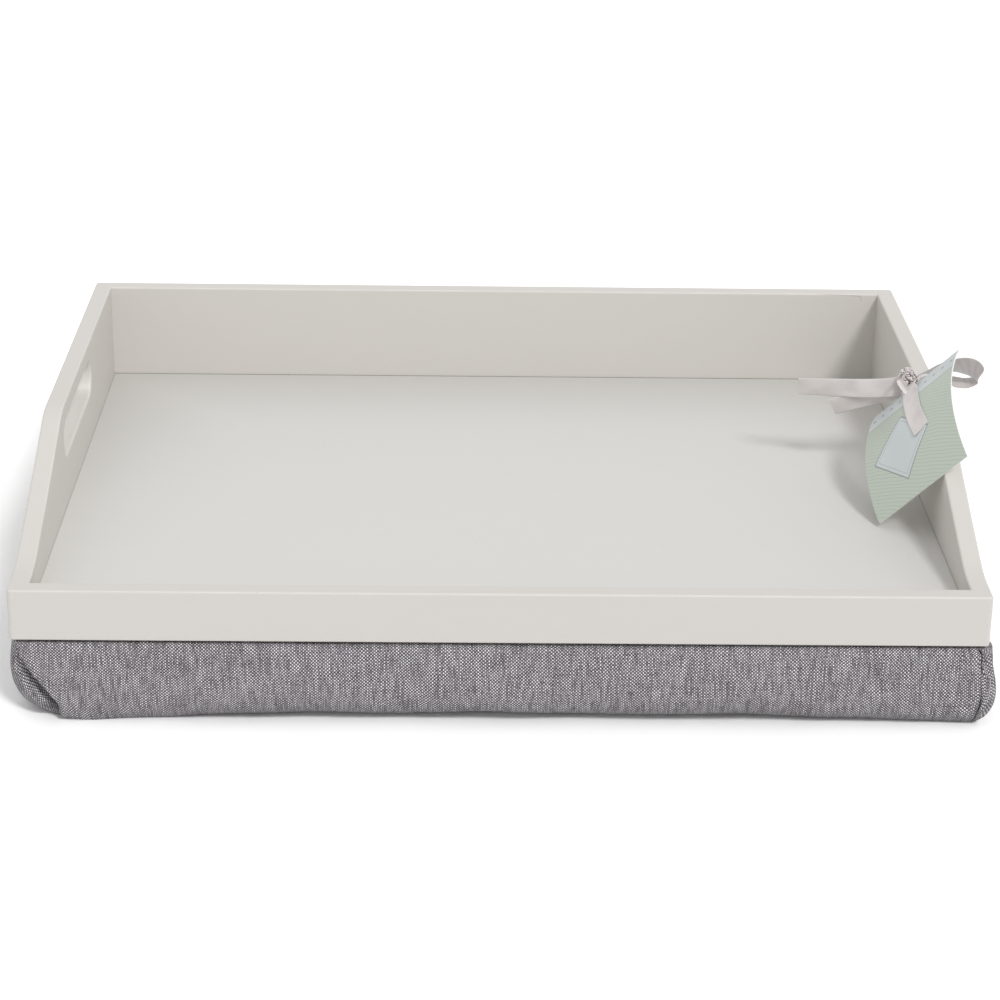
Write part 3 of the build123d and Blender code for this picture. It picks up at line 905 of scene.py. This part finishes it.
def woven(name, uv_map):
    """Slubby plain weave: pale warp and dark weft yarns over and under each other, some warp yarns paler,
    with painted shade between the yarns.
    """
    finish = Finish(name, Roughness=0.9, Specular_IOR_Level=0.2, Sheen_Weight=0.12, Sheen_Roughness=0.5)
    uv = finish.node("ShaderNodeUVMap", {"uv_map": uv_map})
    sway_across = finish.noise(uv, slub_counts[0], 2.0) * slub_sway
    sway_along = finish.noise(uv, slub_counts[1], 2.0, (4, 8, 1)) * slub_sway
    across = finish.axis(uv, "X") / yarn_pitch + sway_across
    along = finish.axis(uv, "Y") / yarn_pitch + sway_along
    wave_across = (across * pi).sine()
    wave_along = (along * pi).sine()
    warp_on_top = (wave_across * wave_along).rise(-0.12, 0.12)
    round_across = abs(wave_across)
    round_along = abs(wave_along)
    warp_height = round_across ** 0.7 * round_along ** 0.35
    weft_height = round_along ** 0.7 * round_across ** 0.35
    height = weft_height + (warp_height - weft_height) * warp_on_top
    warp = finish.noise(finish.vector(across.whole() * 3.7, along * 0.07), (1, 1, 1), 1.0)
    weft = finish.noise(finish.vector(across * 0.1, along.whole() * 4.3), (1, 1, 1), 1.0, (9, 2, 5))
    fleck = finish.noise(finish.vector(across, along), (0.8, 0.8, 0.8), 1.0, (2, 7, 3))
    warp_colour = finish.mix((warp * 0.8 + fleck * 0.5).rise(0.4, 0.86), *warp_colours)
    weft_colour = finish.mix((weft * 0.8 + fleck * 0.6).rise(0.45, 0.95), *weft_colours)
    colour = finish.mix(warp_on_top, weft_colour, warp_colour)
    # The low places between the yarns are painted near-black as painted shade
    finish.feed(Base_Color=finish.mix((1 - height.rise(0.1, 0.8)) * 0.92, colour, gap_shade_colour))
    finish.relief(height, yarn_relief)
    return finish


weave_finish = woven("woven_grey_cloth", "Cloth")
padded_piece(new_piece("cushion_cover_cloth", cover_mesh, weave_finish), "cushion_cover")

# Top panel of the cushion
# A second piece of the same cloth, sewn to the cover 6 mm inside the rim with a pale
# grey thread. The filling swells it up between the tray's walls, flat under the strips.
wall_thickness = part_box("front_rail")[1].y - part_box("front_rail")[0].y
crown_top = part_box("loop_strip_front")[0].z
crown_clearance = 0.0015
crown_slope = 0.015
crown_round = 0.014
crown_rows = 14
crown_flat_shares = (0.98, 0.95, 0.91, 0.86, 0.8, 0.73, 0.65, 0.56, 0.46, 0.35, 0.23, 0.11)
rim_round = 0.008
# How far in from the seam each ring of the panel's edge lies, and how far below the rim
edge_rings = ((0.0002, -0.0004), (0.0012, -0.0001), (0.003, 0))
ring_steps = 96
dip_depth = 0.0011
dip_counts = Vector((26, 26, 0))
ruck_counts = Vector((75, 75, 0))
dip_edge = 0.004
strip_edge = 0.012


def rounded_ring(inset, radius, level):
    """A level ring round the cushion, so far inside the tray's outline, with rounded corners."""
    half_x, half_y = tray_half_width - inset, tray_half_depth - inset
    round_steps = ring_steps // 3
    ring = []
    for turn, (side_x, side_y) in enumerate(((1, -1), (1, 1), (-1, 1), (-1, -1))):
        centre = Vector((side_x * (half_x - radius), side_y * (half_y - radius), level))
        for step in range(round_steps + 1):
            angle = pi / 2 * (turn - 1 + step / round_steps)
            ring.append(centre + Vector((cos(angle), sin(angle), 0)) * radius)
        far = (half_y - radius) if turn % 2 == 0 else (half_x - radius)
        direction = Vector((-sin(pi / 2 * turn), cos(pi / 2 * turn), 0))
        for step in range(1, ring_steps):
            ring.append(ring[-1] + direction * 2 * far / ring_steps)
    return ring


panel_rings = []
for inset, level in edge_rings:
    panel_rings.append(rounded_ring(top_draw + seam_inset + inset, rim_round, cushion_rim + level))
for step in range(crown_rows):
    share = (step / (crown_rows - 1)) ** 1.6
    rise = (crown_top - cushion_rim) * (1 - (1 - share) ** 3.2)
    inset = wall_thickness + crown_clearance + crown_slope * share
    panel_rings.append(rounded_ring(inset, crown_round, cushion_rim + rise))
crown_edge = panel_rings[-1]
for share in crown_flat_shares:
    panel_rings.append(drawn_in(crown_edge, share, crown_top))
panel_skin, _ = loft(panel_rings)
panel_layer = panel_skin.loops.layers.uv.new("Cloth")
for face in panel_skin.faces:
    face.normal_flip()
    for corner in face.loops:
        corner[panel_layer].uv = corner.vert.co.xy
strip_boxes = [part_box("loop_strip_" + side) for side in strip_sides]


def under_strip(point):
    """1 under a loop strip and 0 well away from all four."""
    gaps = []
    for low, high in strip_boxes:
        gaps.append(max(low.x - point.x, point.x - high.x, low.y - point.y, point.y - high.y))
    return 1 - smooth(min(gaps) / strip_edge)


for vert in panel_skin.verts:
    dip = 0.5 + 0.5 * noise.noise(vert.co * dip_counts + Vector((0, 0, 3)))
    dip += 0.35 * abs(noise.noise(vert.co * ruck_counts + Vector((0, 0, 8))))
    inside = smooth((vert.co.z - cushion_rim) / dip_edge)
    vert.co.z -= dip_depth * dip * inside * (1 - under_strip(vert.co))
panel_mesh = smooth_mesh("cushion_top_cloth", panel_skin)
padded_piece(new_piece("cushion_top_cloth", panel_mesh, weave_finish), "cushion_top_panel")

stitch_pitch = 0.0042
stitch_length = 0.0030
stitch_inset = 0.0018
thread_radius = 0.00028
thread_sides = 6
thread_twist = 0.0007
thread_relief = 0.0001
thread_colour = (0.42, 0.40, 0.41)
# Sections of a stitch: how far from its middle each lies, and how thick it is
stitch_shares = ((-1, 0.15), (-0.8, 0.75), (-0.3, 1), (0.3, 1), (0.8, 0.75), (1, 0.15))


def stitch(skin, middle, along):
    """One stitch: a short thread that dips into the cloth at both ends."""
    side = Vector((-along.y, along.x, 0))
    sections = []
    for step, share in stitch_shares:
        sunk = Vector((0, 0, thread_radius * (1 - share) * 1.5))
        centre = middle + along * stitch_length / 2 * step - sunk
        section = []
        for corner in range(thread_sides):
            angle = 2 * pi / thread_sides * corner
            out = side * cos(angle) + Vector((0, 0, sin(angle)))
            section.append(skin.verts.new(centre + out * thread_radius * share))
        sections.append(section)
    for before, after in zip(sections, sections[1:]):
        for corner in range(thread_sides):
            following = (corner + 1) % thread_sides
            skin.faces.new((before[corner], before[following], after[following], after[corner]))
    skin.faces.new(sections[0][::-1])
    skin.faces.new(sections[-1])


stitch_ring = rounded_ring(top_draw + seam_inset + stitch_inset, rim_round, cushion_rim + thread_radius * 0.3)
stitches = bmesh.new()
travelled = 0.0
next_stitch = stitch_pitch
for start, end in zip(stitch_ring, stitch_ring[1:] + stitch_ring[:1]):
    gap = (end - start).length
    along = (end - start).normalized()
    while gap > 0 and travelled + gap > next_stitch:
        stitch(stitches, start + along * (next_stitch - travelled), along)
        next_stitch += stitch_pitch
    travelled += gap
bmesh.ops.recalc_face_normals(stitches, faces=stitches.faces[:])
thread_finish = Finish("seam_thread", Roughness=0.6)
thread_place = thread_finish.place()
twist = thread_finish.axis(thread_place, "X") + thread_finish.axis(thread_place, "Y")
twist = (twist * (2 * pi / thread_twist)).sine() * 0.5 + 0.5
thread_finish.hollowed(twist, thread_colour, 0.7, thread_relief)
stitch_mesh = smooth_mesh("cushion_seam_stitches", stitches)
stitch_piece = new_piece("cushion_seam_stitches", stitch_mesh, thread_finish)
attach(stitch_piece, "cushion")

# Loop strips
# Four soft nylon loop strips sewn on the top panel, where the tray's hook strips press
# down on them. Lifting the tray peels the two apart.
loop_colour = (0.72, 0.72, 0.69)
curl_count = 1100.0
fuzz_counts = (1500, 1500, 1500)
fuzz_relief = 0.0006
for side in strip_sides:
    strip_finish = Finish("loop_strip_" + side, Roughness=0.9, Sheen_Weight=0.3)
    curls = cells(strip_finish, curl_count)
    fuzz = strip_finish.noise(strip_finish.place(), fuzz_counts, 3.0) * 0.6 + curls * 0.5
    # The fuzz's low places are painted darker as painted shade
    strip_finish.feed(Base_Color=strip_finish.mix(fuzz.rise(0.2, 0.8), toned(loop_colour, 0.6), loop_colour))
    strip_finish.relief(fuzz, fuzz_relief)
    dress("loop_strip_" + side, strip_finish)

# Hanging ribbon
# A 10 mm satin ribbon with a fine looped edge. It goes over the grip of the right side
# panel, comes back through the hand slot and is knotted inside, with two free ends.
side_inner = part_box("right_side")[0].x
grip_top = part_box("right_side")[1].z
front_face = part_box("front_rail")[0].y
knot_place = Vector((side_inner - 0.0062, front_face + 0.171, grip_top + 0.0046))
ribbon_width = 0.010
ribbon_thickness = 0.0003
ribbon_step = 0.00016
section_shares = (-1.0, -0.93, -0.6, -0.2, 0.2, 0.6, 0.93, 1.0)
picot_pitch = 0.0009
picot_size = 0.0003
face_shift = 0.05
satin_relief = 0.00006
streak_counts = (5200, 260, 1)
satin_cloud_counts = (220, 120, 1)
lit_and_shaded_band_counts = (50, 420, 1)
plain_band_counts = (90, 60, 1)
ribbon_colour = (0.75, 0.70, 0.69)
shaded_colour = (0.315, 0.29, 0.28)
lit_colour = (0.55, 0.51, 0.49)
pale_thread_colour = (0.9, 0.88, 0.87)
edge_colour = (0.24, 0.20, 0.205)
painted_crease_shade = (0.10, 0.075, 0.075)
grip_half_height = 0.0045
grip_play = 0.0008
loop_reach = 0.0375
loop_back = 0.040
# Rows along the loop: reach, way back, height, then the turn and the lift of its width in degrees
loop_shares = ((-0.18, 0.0, 1.6, 48, 0), (-0.09, 0.1, 1.2, 45, 0), (0.0, 0.18, 1.0, 42, 0),
               (0.23, 0.38, 1.0, 42, 6), (0.441, 0.555, 1.316, 23.2, 5.8), (0.715, 0.67, 1.179, -8.7, 33.3),
               (0.867, 0.707, 0.806, -14.3, 47.8), (0.938, 0.712, 0.222, -32.9, 25.3),
               (0.905, 0.724, -0.364, -23.3, 12), (0.753, 0.72, -0.627, -14.2, 9.2),
               (0.489, 0.641, -0.375, -4, 9.3), (0.3, 0.46, -0.9, 40, 0), (0.0, 0.18, -1.0, 42, 0),
               (-0.1, 0.08, -0.75, 20, 0), (-0.15, 0.04, 0.2, 8, 0), (-0.17, 0.02, 1.1, 8, 0))
# Rows along a free end: way in, way back and drop, then the turn and the lift of its width in degrees
long_end = 0.053
long_end_shares = ((0.0, 0.0, 0.15, 8, 80), (0.12, 0.02, 0.55, 8, 84), (0.38, 0.09, 0.8, 8, 84),
                   (0.7, 0.16, 0.9, 8, 76), (1.0, 0.23, 1.0, 8, 68))
short_end = 0.0355
short_end_shares = ((0.0, 0.05, 0.25, 8, 80), (0.2, 0.12, 0.92, 12, 78), (0.55, 0.22, 1.52, 35, 68),
                    (1.0, 0.32, 2.15, 60, 60))
end_drop = 0.009


def between(before, start, end, after, share):
    """A point on a smooth curve from start to end, which heads for the points beside them."""
    square, cube = share * share, share ** 3
    return 0.5 * (2 * start + (end - before) * share + (2 * before - 5 * start + 4 * end - after) * square
                  + (3 * start - before - 3 * end + after) * cube)


def followed(rows):
    """Places, width directions and widths along a smooth line through the rows."""
    ends = [rows[0], *rows, rows[-1]]
    line = []
    for before, start, end, after in zip(ends, ends[1:], ends[2:], ends[3:]):
        count = max(2, int((end[0] - start[0]).length / ribbon_step))
        for step in range(count):
            line.append([between(a, b, c, d, step / count) for a, b, c, d in zip(before, start, end, after)])
    line.append(rows[-1])
    return line


def ribbon(name, rows, finish, camber=0.0, picot=1.0):
    """A length of ribbon through rows of place, width direction and width share."""
    line = followed(rows)
    band = bmesh.new()
    layer = band.loops.layers.uv.new("Ribbon")
    travelled = 0.0
    rings = []
    for index, (centre, across, width_share) in enumerate(line):
        before = line[max(index - 1, 0)][0]
        after = line[min(index + 1, len(line) - 1)][0]
        along = (after - before).normalized()
        across = (across - along * across.dot(along)).normalized()
        out = across.cross(along)
        half = ribbon_width / 2 * width_share
        scallop = picot_size * abs(sin(pi * travelled / picot_pitch)) * picot
        ring = []
        for side in (1, -1):
            for share in section_shares[::side]:
                at_edge = abs(share) == 1
                reach = half * share + scallop * share * at_edge
                thick = ribbon_thickness / 2 * side * (0.5 if at_edge else 1)
                place = centre + across * reach + out * (thick + camber * half * (1 - share * share))
                ring.append((band.verts.new(place), reach + (face_shift if side > 0 else 0), travelled))
        rings.append(ring)
        travelled += (after - centre).length
    count = len(rings[0])
    for first, second in zip(rings, rings[1:]):
        for index in range(count):
            following = (index + 1) % count
            corners = (first[index], second[index], second[following], first[following])
            face = band.faces.new([corner[0] for corner in corners])
            for corner, (_, reach, along) in zip(face.loops, corners):
                corner[layer].uv = (reach, along)
    band.faces.new([corner[0] for corner in rings[0]])
    band.faces.new([corner[0] for corner in rings[-1]][::-1])
    bmesh.ops.recalc_face_normals(band, faces=band.faces[:])
    return new_piece(name, smooth_mesh(name, band), finish), travelled


def satin(name, colour, other_colour=None, creased=0.0):
    """Satin ribbon: long fine floats that shine, paler woven edges with small loops and painted shade in its
    creases; with a second colour its two faces are painted as shaded and lit copies.
    """
    finish = Finish(name, Roughness=0.34, Specular_IOR_Level=0.55, Sheen_Weight=0.15)
    uv = finish.node("ShaderNodeUVMap", {"uv_map": "Ribbon"})
    reach = finish.axis(uv, "X")
    other_face = reach.rise(face_shift * 0.45, face_shift * 0.55)
    reach = abs(reach - other_face * face_shift)
    streak = finish.noise(uv, streak_counts, 2.0)
    cloud = finish.noise(uv, satin_cloud_counts, 2.0, (3, 3, 3))
    band_counts = lit_and_shaded_band_counts if other_colour else plain_band_counts
    band = finish.noise(uv, band_counts, 1.0, (1, 8, 2)).rise(0.3, 0.7)
    edge = reach.rise(ribbon_width * 0.44, ribbon_width * 0.47)
    picks = (finish.axis(uv, "Y") * (2 * pi / picot_pitch)).sine() * 0.5 + 0.5
    deep = toned(colour, 0.82)
    pale = [min(part, 0.9) for part in toned(colour, 1.3)]
    # Painted light and shade: one face gets the lit colour, the other the shaded colour
    if other_colour:
        colour = finish.mix(other_face, colour, other_colour)
        deep = finish.mix(other_face, deep, toned(other_colour, 0.85))
        pale = finish.mix(0.35, colour, pale_thread_colour)
    body = finish.mix((streak * 0.4 + cloud * 0.3 + band * 0.3).rise(0.2, 0.7), deep, colour)
    body = finish.mix(edge * (1 - picks) * 0.45, body, edge_colour)
    body = finish.mix(edge * picks * 0.7, body, pale)
    # Painted shade: the knot's folds, carried in its Fold map, are painted dark
    if creased:
        hollow = finish.axis(finish.node("ShaderNodeUVMap", {"uv_map": "Fold"}), "X")
        body = finish.mix(hollow.rise(0.3, 0.85) * creased, body, painted_crease_shade)
    finish.feed(Base_Color=body, Roughness=0.3 + streak * 0.12 + edge * 0.25)
    finish.relief(streak * 0.3 + edge * picks * 0.7, satin_relief)
    return finish


def tray_ribbon(piece):
    """Ribbon that is tied to the grip, so that it stays with the tray."""
    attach(piece, "tray")
    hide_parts("hanging_ribbon")


def lifted(level, lift):
    """A level direction tipped up by so many degrees."""
    return level * cos(radians(lift)) + Vector((0, 0, sin(radians(lift))))


def free_end(name, length, shares):
    """A cut end of the ribbon, from the knot out over the tray."""
    rows = []
    for in_share, back_share, drop_share, turn, lift in shares:
        centre = knot_place + Vector((-length * in_share, length * back_share, -end_drop * drop_share))
        level = Vector((-sin(radians(turn)), -cos(radians(turn)), 0))
        rows.append((centre, lifted(level, lift), 1.0))
    piece, cut_length = ribbon(name, rows, satin_finish)
    tray_ribbon(piece)


satin_finish = satin("ribbon_satin", ribbon_colour)
# The loop is painted darker than the free ends as painted shade, with one face a shaded copy and the other a
# lit copy
loop_finish = satin("ribbon_loop_lit_and_shaded", shaded_colour, lit_colour)
loop_middle = Vector((side_inner, knot_place.y, grip_top - grip_half_height))
loop_rows = []
for reach_share, back_share, height_share, turn, lift in loop_shares:
    height = (grip_half_height + grip_play) * height_share
    away = Vector((loop_reach * reach_share, loop_back * back_share, height))
    level = Vector((-sin(radians(turn)), cos(radians(turn)), 0))
    loop_rows.append((loop_middle + away, lifted(level, lift), 1.0))
grip_loop, grip_loop_length = ribbon("ribbon_grip_loop", loop_rows, loop_finish)
tray_ribbon(grip_loop)
free_end("ribbon_long_end", long_end, long_end_shares)
free_end("ribbon_short_end", short_end, short_end_shares)

# Knot of the ribbon
# The same satin, gathered narrow and pulled tight: crumpled lumps with sharp folds, and
# two narrow turns that come out at its sides.
# Its folds are painted dark as painted shade
knot_finish = satin("ribbon_in_the_knot", ribbon_colour, None, 0.9)
fold_count = 2.4
knot_weave_share = 0.3
# Each lump: its place from the knot's middle, its half sizes, its own pattern and how deep it folds
knot_lumps = {"heart": ((-0.0002, 0, -0.0008), (0.0040, 0.0042, 0.0046), 3.0, 0.45),
              "crown": ((-0.0006, -0.0004, 0.0036), (0.0038, 0.0032, 0.0022), 7.0, 0.4),
              "lobe": ((0.0032, -0.0024, 0.0012), (0.0020, 0.0026, 0.0030), 11.0, 0.42),
              "petal": ((-0.0026, -0.0030, -0.0038), (0.0019, 0.0024, 0.0036), 17.0, 0.36)}
# Each turn: its place, its tall and deep half sizes, their directions and the ribbon's width share
knot_turns = {"ear": ((0.0066, -0.0018, 0.0006), 0.0036, 0.0014, (0.9, 0.1, 0.42), (-0.4, 0.1, 0.9), 0.42),
              "tuck": ((-0.0042, -0.0008, 0.0002), 0.0034, 0.0015, (0.25, 0.05, 1), (-1, 0.1, 0.2), 0.32)}
turn_steps = 14


def knot_lump(name, away, half_sizes, pattern, depth):
    """A gathered lump of ribbon, with sharp folds that run through it."""
    lump = bmesh.new()
    weave_layer = lump.loops.layers.uv.new("Ribbon")
    fold_layer = lump.loops.layers.uv.new("Fold")
    bmesh.ops.create_icosphere(lump, subdivisions=5, radius=1)
    middle = knot_place + Vector(away)
    hollows = {}
    for point in lump.verts:
        way = point.co.normalized()
        slant = way.x * 1.2 + way.z * 0.9 + 0.6 * noise.noise(way * 1.6 + Vector((pattern, 0, 0)))
        folds = (1 - abs(sin(slant * fold_count))) ** 1.6
        ruck = 1 - abs(noise.noise(way * 1.5 + Vector((0, pattern, 4)))) * 3
        hollows[point] = max(folds, max(ruck, 0) ** 3)
        point.co = middle + way * Vector(half_sizes) * (1 - depth * hollows[point])
    # The Fold map carries how deep each fold is, which the finish paints as shade
    for face in lump.faces:
        for corner in face.loops:
            place = corner.vert.co
            corner[weave_layer].uv = (knot_weave_share * (place.x - middle.x), place.z)
            corner[fold_layer].uv = (hollows[corner.vert], 0)
    tray_ribbon(new_piece(name, smooth_mesh(name, lump), knot_finish))


def knot_turn(name, away, tall, deep, tall_way, deep_way, width_share):
    """Part of the knot: ribbon gathered narrow and wrapped once round the rest."""
    tall_way, deep_way = Vector(tall_way).normalized(), Vector(deep_way).normalized()
    across = tall_way.cross(deep_way).normalized()
    rows = []
    for step in range(turn_steps + 1):
        angle = 2 * pi * step / turn_steps
        narrow = width_share * (1 - 0.3 * sin(angle * 2 + tall / deep) ** 2)
        place = knot_place + Vector(away) + tall_way * tall * cos(angle) + deep_way * deep * sin(angle)
        rows.append((place, across, narrow))
    piece, _ = ribbon(name, rows, knot_finish, camber=0.5, picot=0.6)
    tray_ribbon(piece)


for name, lump_form in knot_lumps.items():
    knot_lump("ribbon_knot_" + name, *lump_form)
for name, turn_form in knot_turns.items():
    knot_turn("ribbon_knot_" + name, *turn_form)

# Swing tag
# A printed card, bowed by its ribbon, with a hole punched near its upper edge. It hangs
# at the right grip and leans its lower edge on the sweep. Its print is a plain one.
tag_width = 0.0618
tag_height = 0.0733
tag_bow = 0.0075
card_thickness = 0.0006
tag_corner = Vector((side_inner - 0.0258, front_face + 0.1082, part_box("base_panel")[1].z + 0.002))
tag_lean = Vector((side_inner, front_face + 0.0904, 0.0893))
sweep_angle = radians(20)
print_colour = (0.53, 0.585, 0.51)
line_colour = (0.40, 0.46, 0.39)
pale_colour = (0.615, 0.66, 0.67)
ink_colour = (0.16, 0.19, 0.20)
card_colour = (0.80, 0.81, 0.78)
card_relief = 0.00002
fibre_counts = (900, 900, 900)
fade_counts = (30, 30, 1)
line_pitch = 0.0021
line_slant = 0.55
line_sway = 12
sway_counts = (55, 55, 1)
diamond_middle = (0.0255, 0.0300)
diamond_half = (0.0185, 0.0195)
inner_border_share = 0.86
border_width = 0.0005
print_blur = 0.0001
band_low = 0.0585
dot_pitch = 0.0062
dot_height = 0.0655
dot_radius = 0.00095

tag_chord = tag_height - 8 * tag_bow ** 2 / (3 * tag_height)
tag_radius = (tag_chord ** 2 / 4 + tag_bow ** 2) / (2 * tag_bow)
tag_half_angle = asin(tag_chord / 2 / tag_radius)
tag_across = (tag_lean - tag_corner).normalized()
tag_slope = Vector((0, cos(sweep_angle), sin(sweep_angle)))
tag_up = (tag_slope - tag_across * tag_slope.dot(tag_across)).normalized()
tag_out = tag_across.cross(tag_up)

tag_finish = Finish("printed_card", Roughness=0.4, Specular_IOR_Level=0.45)
place = tag_finish.place()
from_corner = tag_finish.vectors("SUBTRACT", place, tag_corner)
across = tag_finish.vectors("DOT_PRODUCT", from_corner, tag_across, "Value")
height = tag_finish.vectors("DOT_PRODUCT", from_corner, tag_up, "Value")
height = (((height - tag_chord / 2) / tag_radius).maths("ARCSINE") + tag_half_angle) * tag_radius
on_card = tag_finish.vector(across, height)
sway = tag_finish.noise(on_card, sway_counts, 1.0) * line_sway
lines = ((across * line_slant + height) * (2 * pi / line_pitch) + sway).sine()
colour = tag_finish.mix(lines.rise(0.72, 0.97) * 0.75, print_colour, line_colour)
from_middle = abs(across - diamond_middle[0]) / diamond_half[0]
from_middle += abs(height - diamond_middle[1]) / diamond_half[1]
border = border_width / diamond_half[0]
fade = tag_finish.noise(on_card, fade_counts, 1.0, (5, 5, 5))
pale = tag_finish.mix(fade.rise(0.3, 0.7), toned(pale_colour, 0.96), toned(pale_colour, 1.04))
colour = tag_finish.mix(1 - from_middle.rise(0.99, 1.01), colour, pale)
outer_border = from_middle.band(1.0, 1 + border * 1.6, border * 0.3)
inner_border = from_middle.band(inner_border_share, inner_border_share + border, border * 0.3)
colour = tag_finish.mix(outer_border * 0.7, colour, ink_colour)
colour = tag_finish.mix(inner_border * 0.35, colour, ink_colour)
colour = tag_finish.mix(height.rise(band_low - print_blur, band_low + print_blur), colour, pale)
colour = tag_finish.mix(height.band(band_low - border_width, band_low, print_blur) * 0.5, colour, ink_colour)
along_dots = across / dot_pitch
from_dot = (along_dots - along_dots.whole() - 0.5) * dot_pitch
dot = (from_dot ** 2 + (height - dot_height) ** 2) ** 0.5
colour = tag_finish.mix((1 - dot.rise(dot_radius * 0.85, dot_radius)) * 0.8, colour, ink_colour)
normal = tag_finish.node("ShaderNodeTexCoord", output="Normal")
facing = tag_finish.vectors("DOT_PRODUCT", normal, tag_out, "Value")
fibre = tag_finish.noise(place, fibre_counts, 3.0)
bare = tag_finish.mix(fibre.rise(0.3, 0.7), toned(card_colour, 0.93), card_colour)
printed = facing.rise(0.55, 0.65)
tag_finish.feed(Base_Color=tag_finish.mix(printed, bare, colour),
                Roughness=0.62 - printed * 0.26 + (fibre - 0.5) * 0.1)
tag_finish.relief(fibre, card_relief)
dress("swing_tag", tag_finish)


def on_tag(across_share, up_share, out):
    """A place by its shares across and up the bowed card, and out from its back."""
    angle = tag_height * up_share / tag_radius - tag_half_angle
    height = tag_chord / 2 + (tag_radius + out) * sin(angle)
    depth = (tag_radius + out) * cos(angle) - (tag_radius - tag_bow)
    return tag_corner + tag_across * tag_width * across_share + tag_up * height + tag_out * depth


# Ribbon of the tag
# A shorter length of the same ribbon: gathered narrow, through the punched hole and
# round into the knot, with one free end that lies down over the card's printed side.
tie_share = 0.36
tie_steps = 8
hole_bend = 0.0064
knot_bend = 0.0026
hole_inset = 0.006
tail_gap = 0.0003
tail_lift = 0.0016
tail_root_width_share = 0.9
# The end's rows: across and up the card, and for those near the knot their lift
root_shares = ((0.44, 1.03, 0.9), (0.45, 0.99, 1.1), (0.462, 0.945, 1.1))
tail_shares = ((0.475, 0.9), (0.52, 0.78), (0.58, 0.6), (0.65, 0.41))
hole_across = 0.45
hole_up = (tag_height - hole_inset) / tag_height

hole_place = on_tag(hole_across, hole_up, card_thickness / 2)
hole_way = (on_tag(hole_across, hole_up, tag_height) - hole_place).normalized()
to_knot = (knot_place - hole_place).normalized()
tie_across = to_knot.cross(hole_way).normalized()
tie_middle = hole_place + to_knot * hole_bend
tie_path = [knot_place + hole_way * knot_bend]
for step in range(tie_steps + 1):
    angle = pi / 2 - pi * step / tie_steps
    tie_path.append(tie_middle + hole_way * hole_bend * sin(angle) - to_knot * hole_bend * cos(angle))
tie_path.append(knot_place - hole_way * knot_bend)
tie_rows = [(place, tie_across, tie_share) for place in tie_path]
tie_piece, _ = ribbon("tag_ribbon_tie", tie_rows, satin_finish, camber=0.5, picot=0.5)
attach(tie_piece, "tray")
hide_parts("tag_tie")

tail_rows = []
for across_share, up_share, lift in root_shares:
    place = on_tag(across_share, up_share, card_thickness + tail_lift * lift)
    tail_rows.append((place, tag_across, tail_root_width_share))
for across_share, up_share in tail_shares:
    place = on_tag(across_share, up_share, card_thickness + tail_gap + ribbon_thickness / 2)
    tail_rows.append((place, tag_across, 1.0))
tail_piece, tail_length = ribbon("tag_ribbon_end", tail_rows, satin_finish, camber=0.04)
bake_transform(tail_piece)
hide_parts("front_tail")
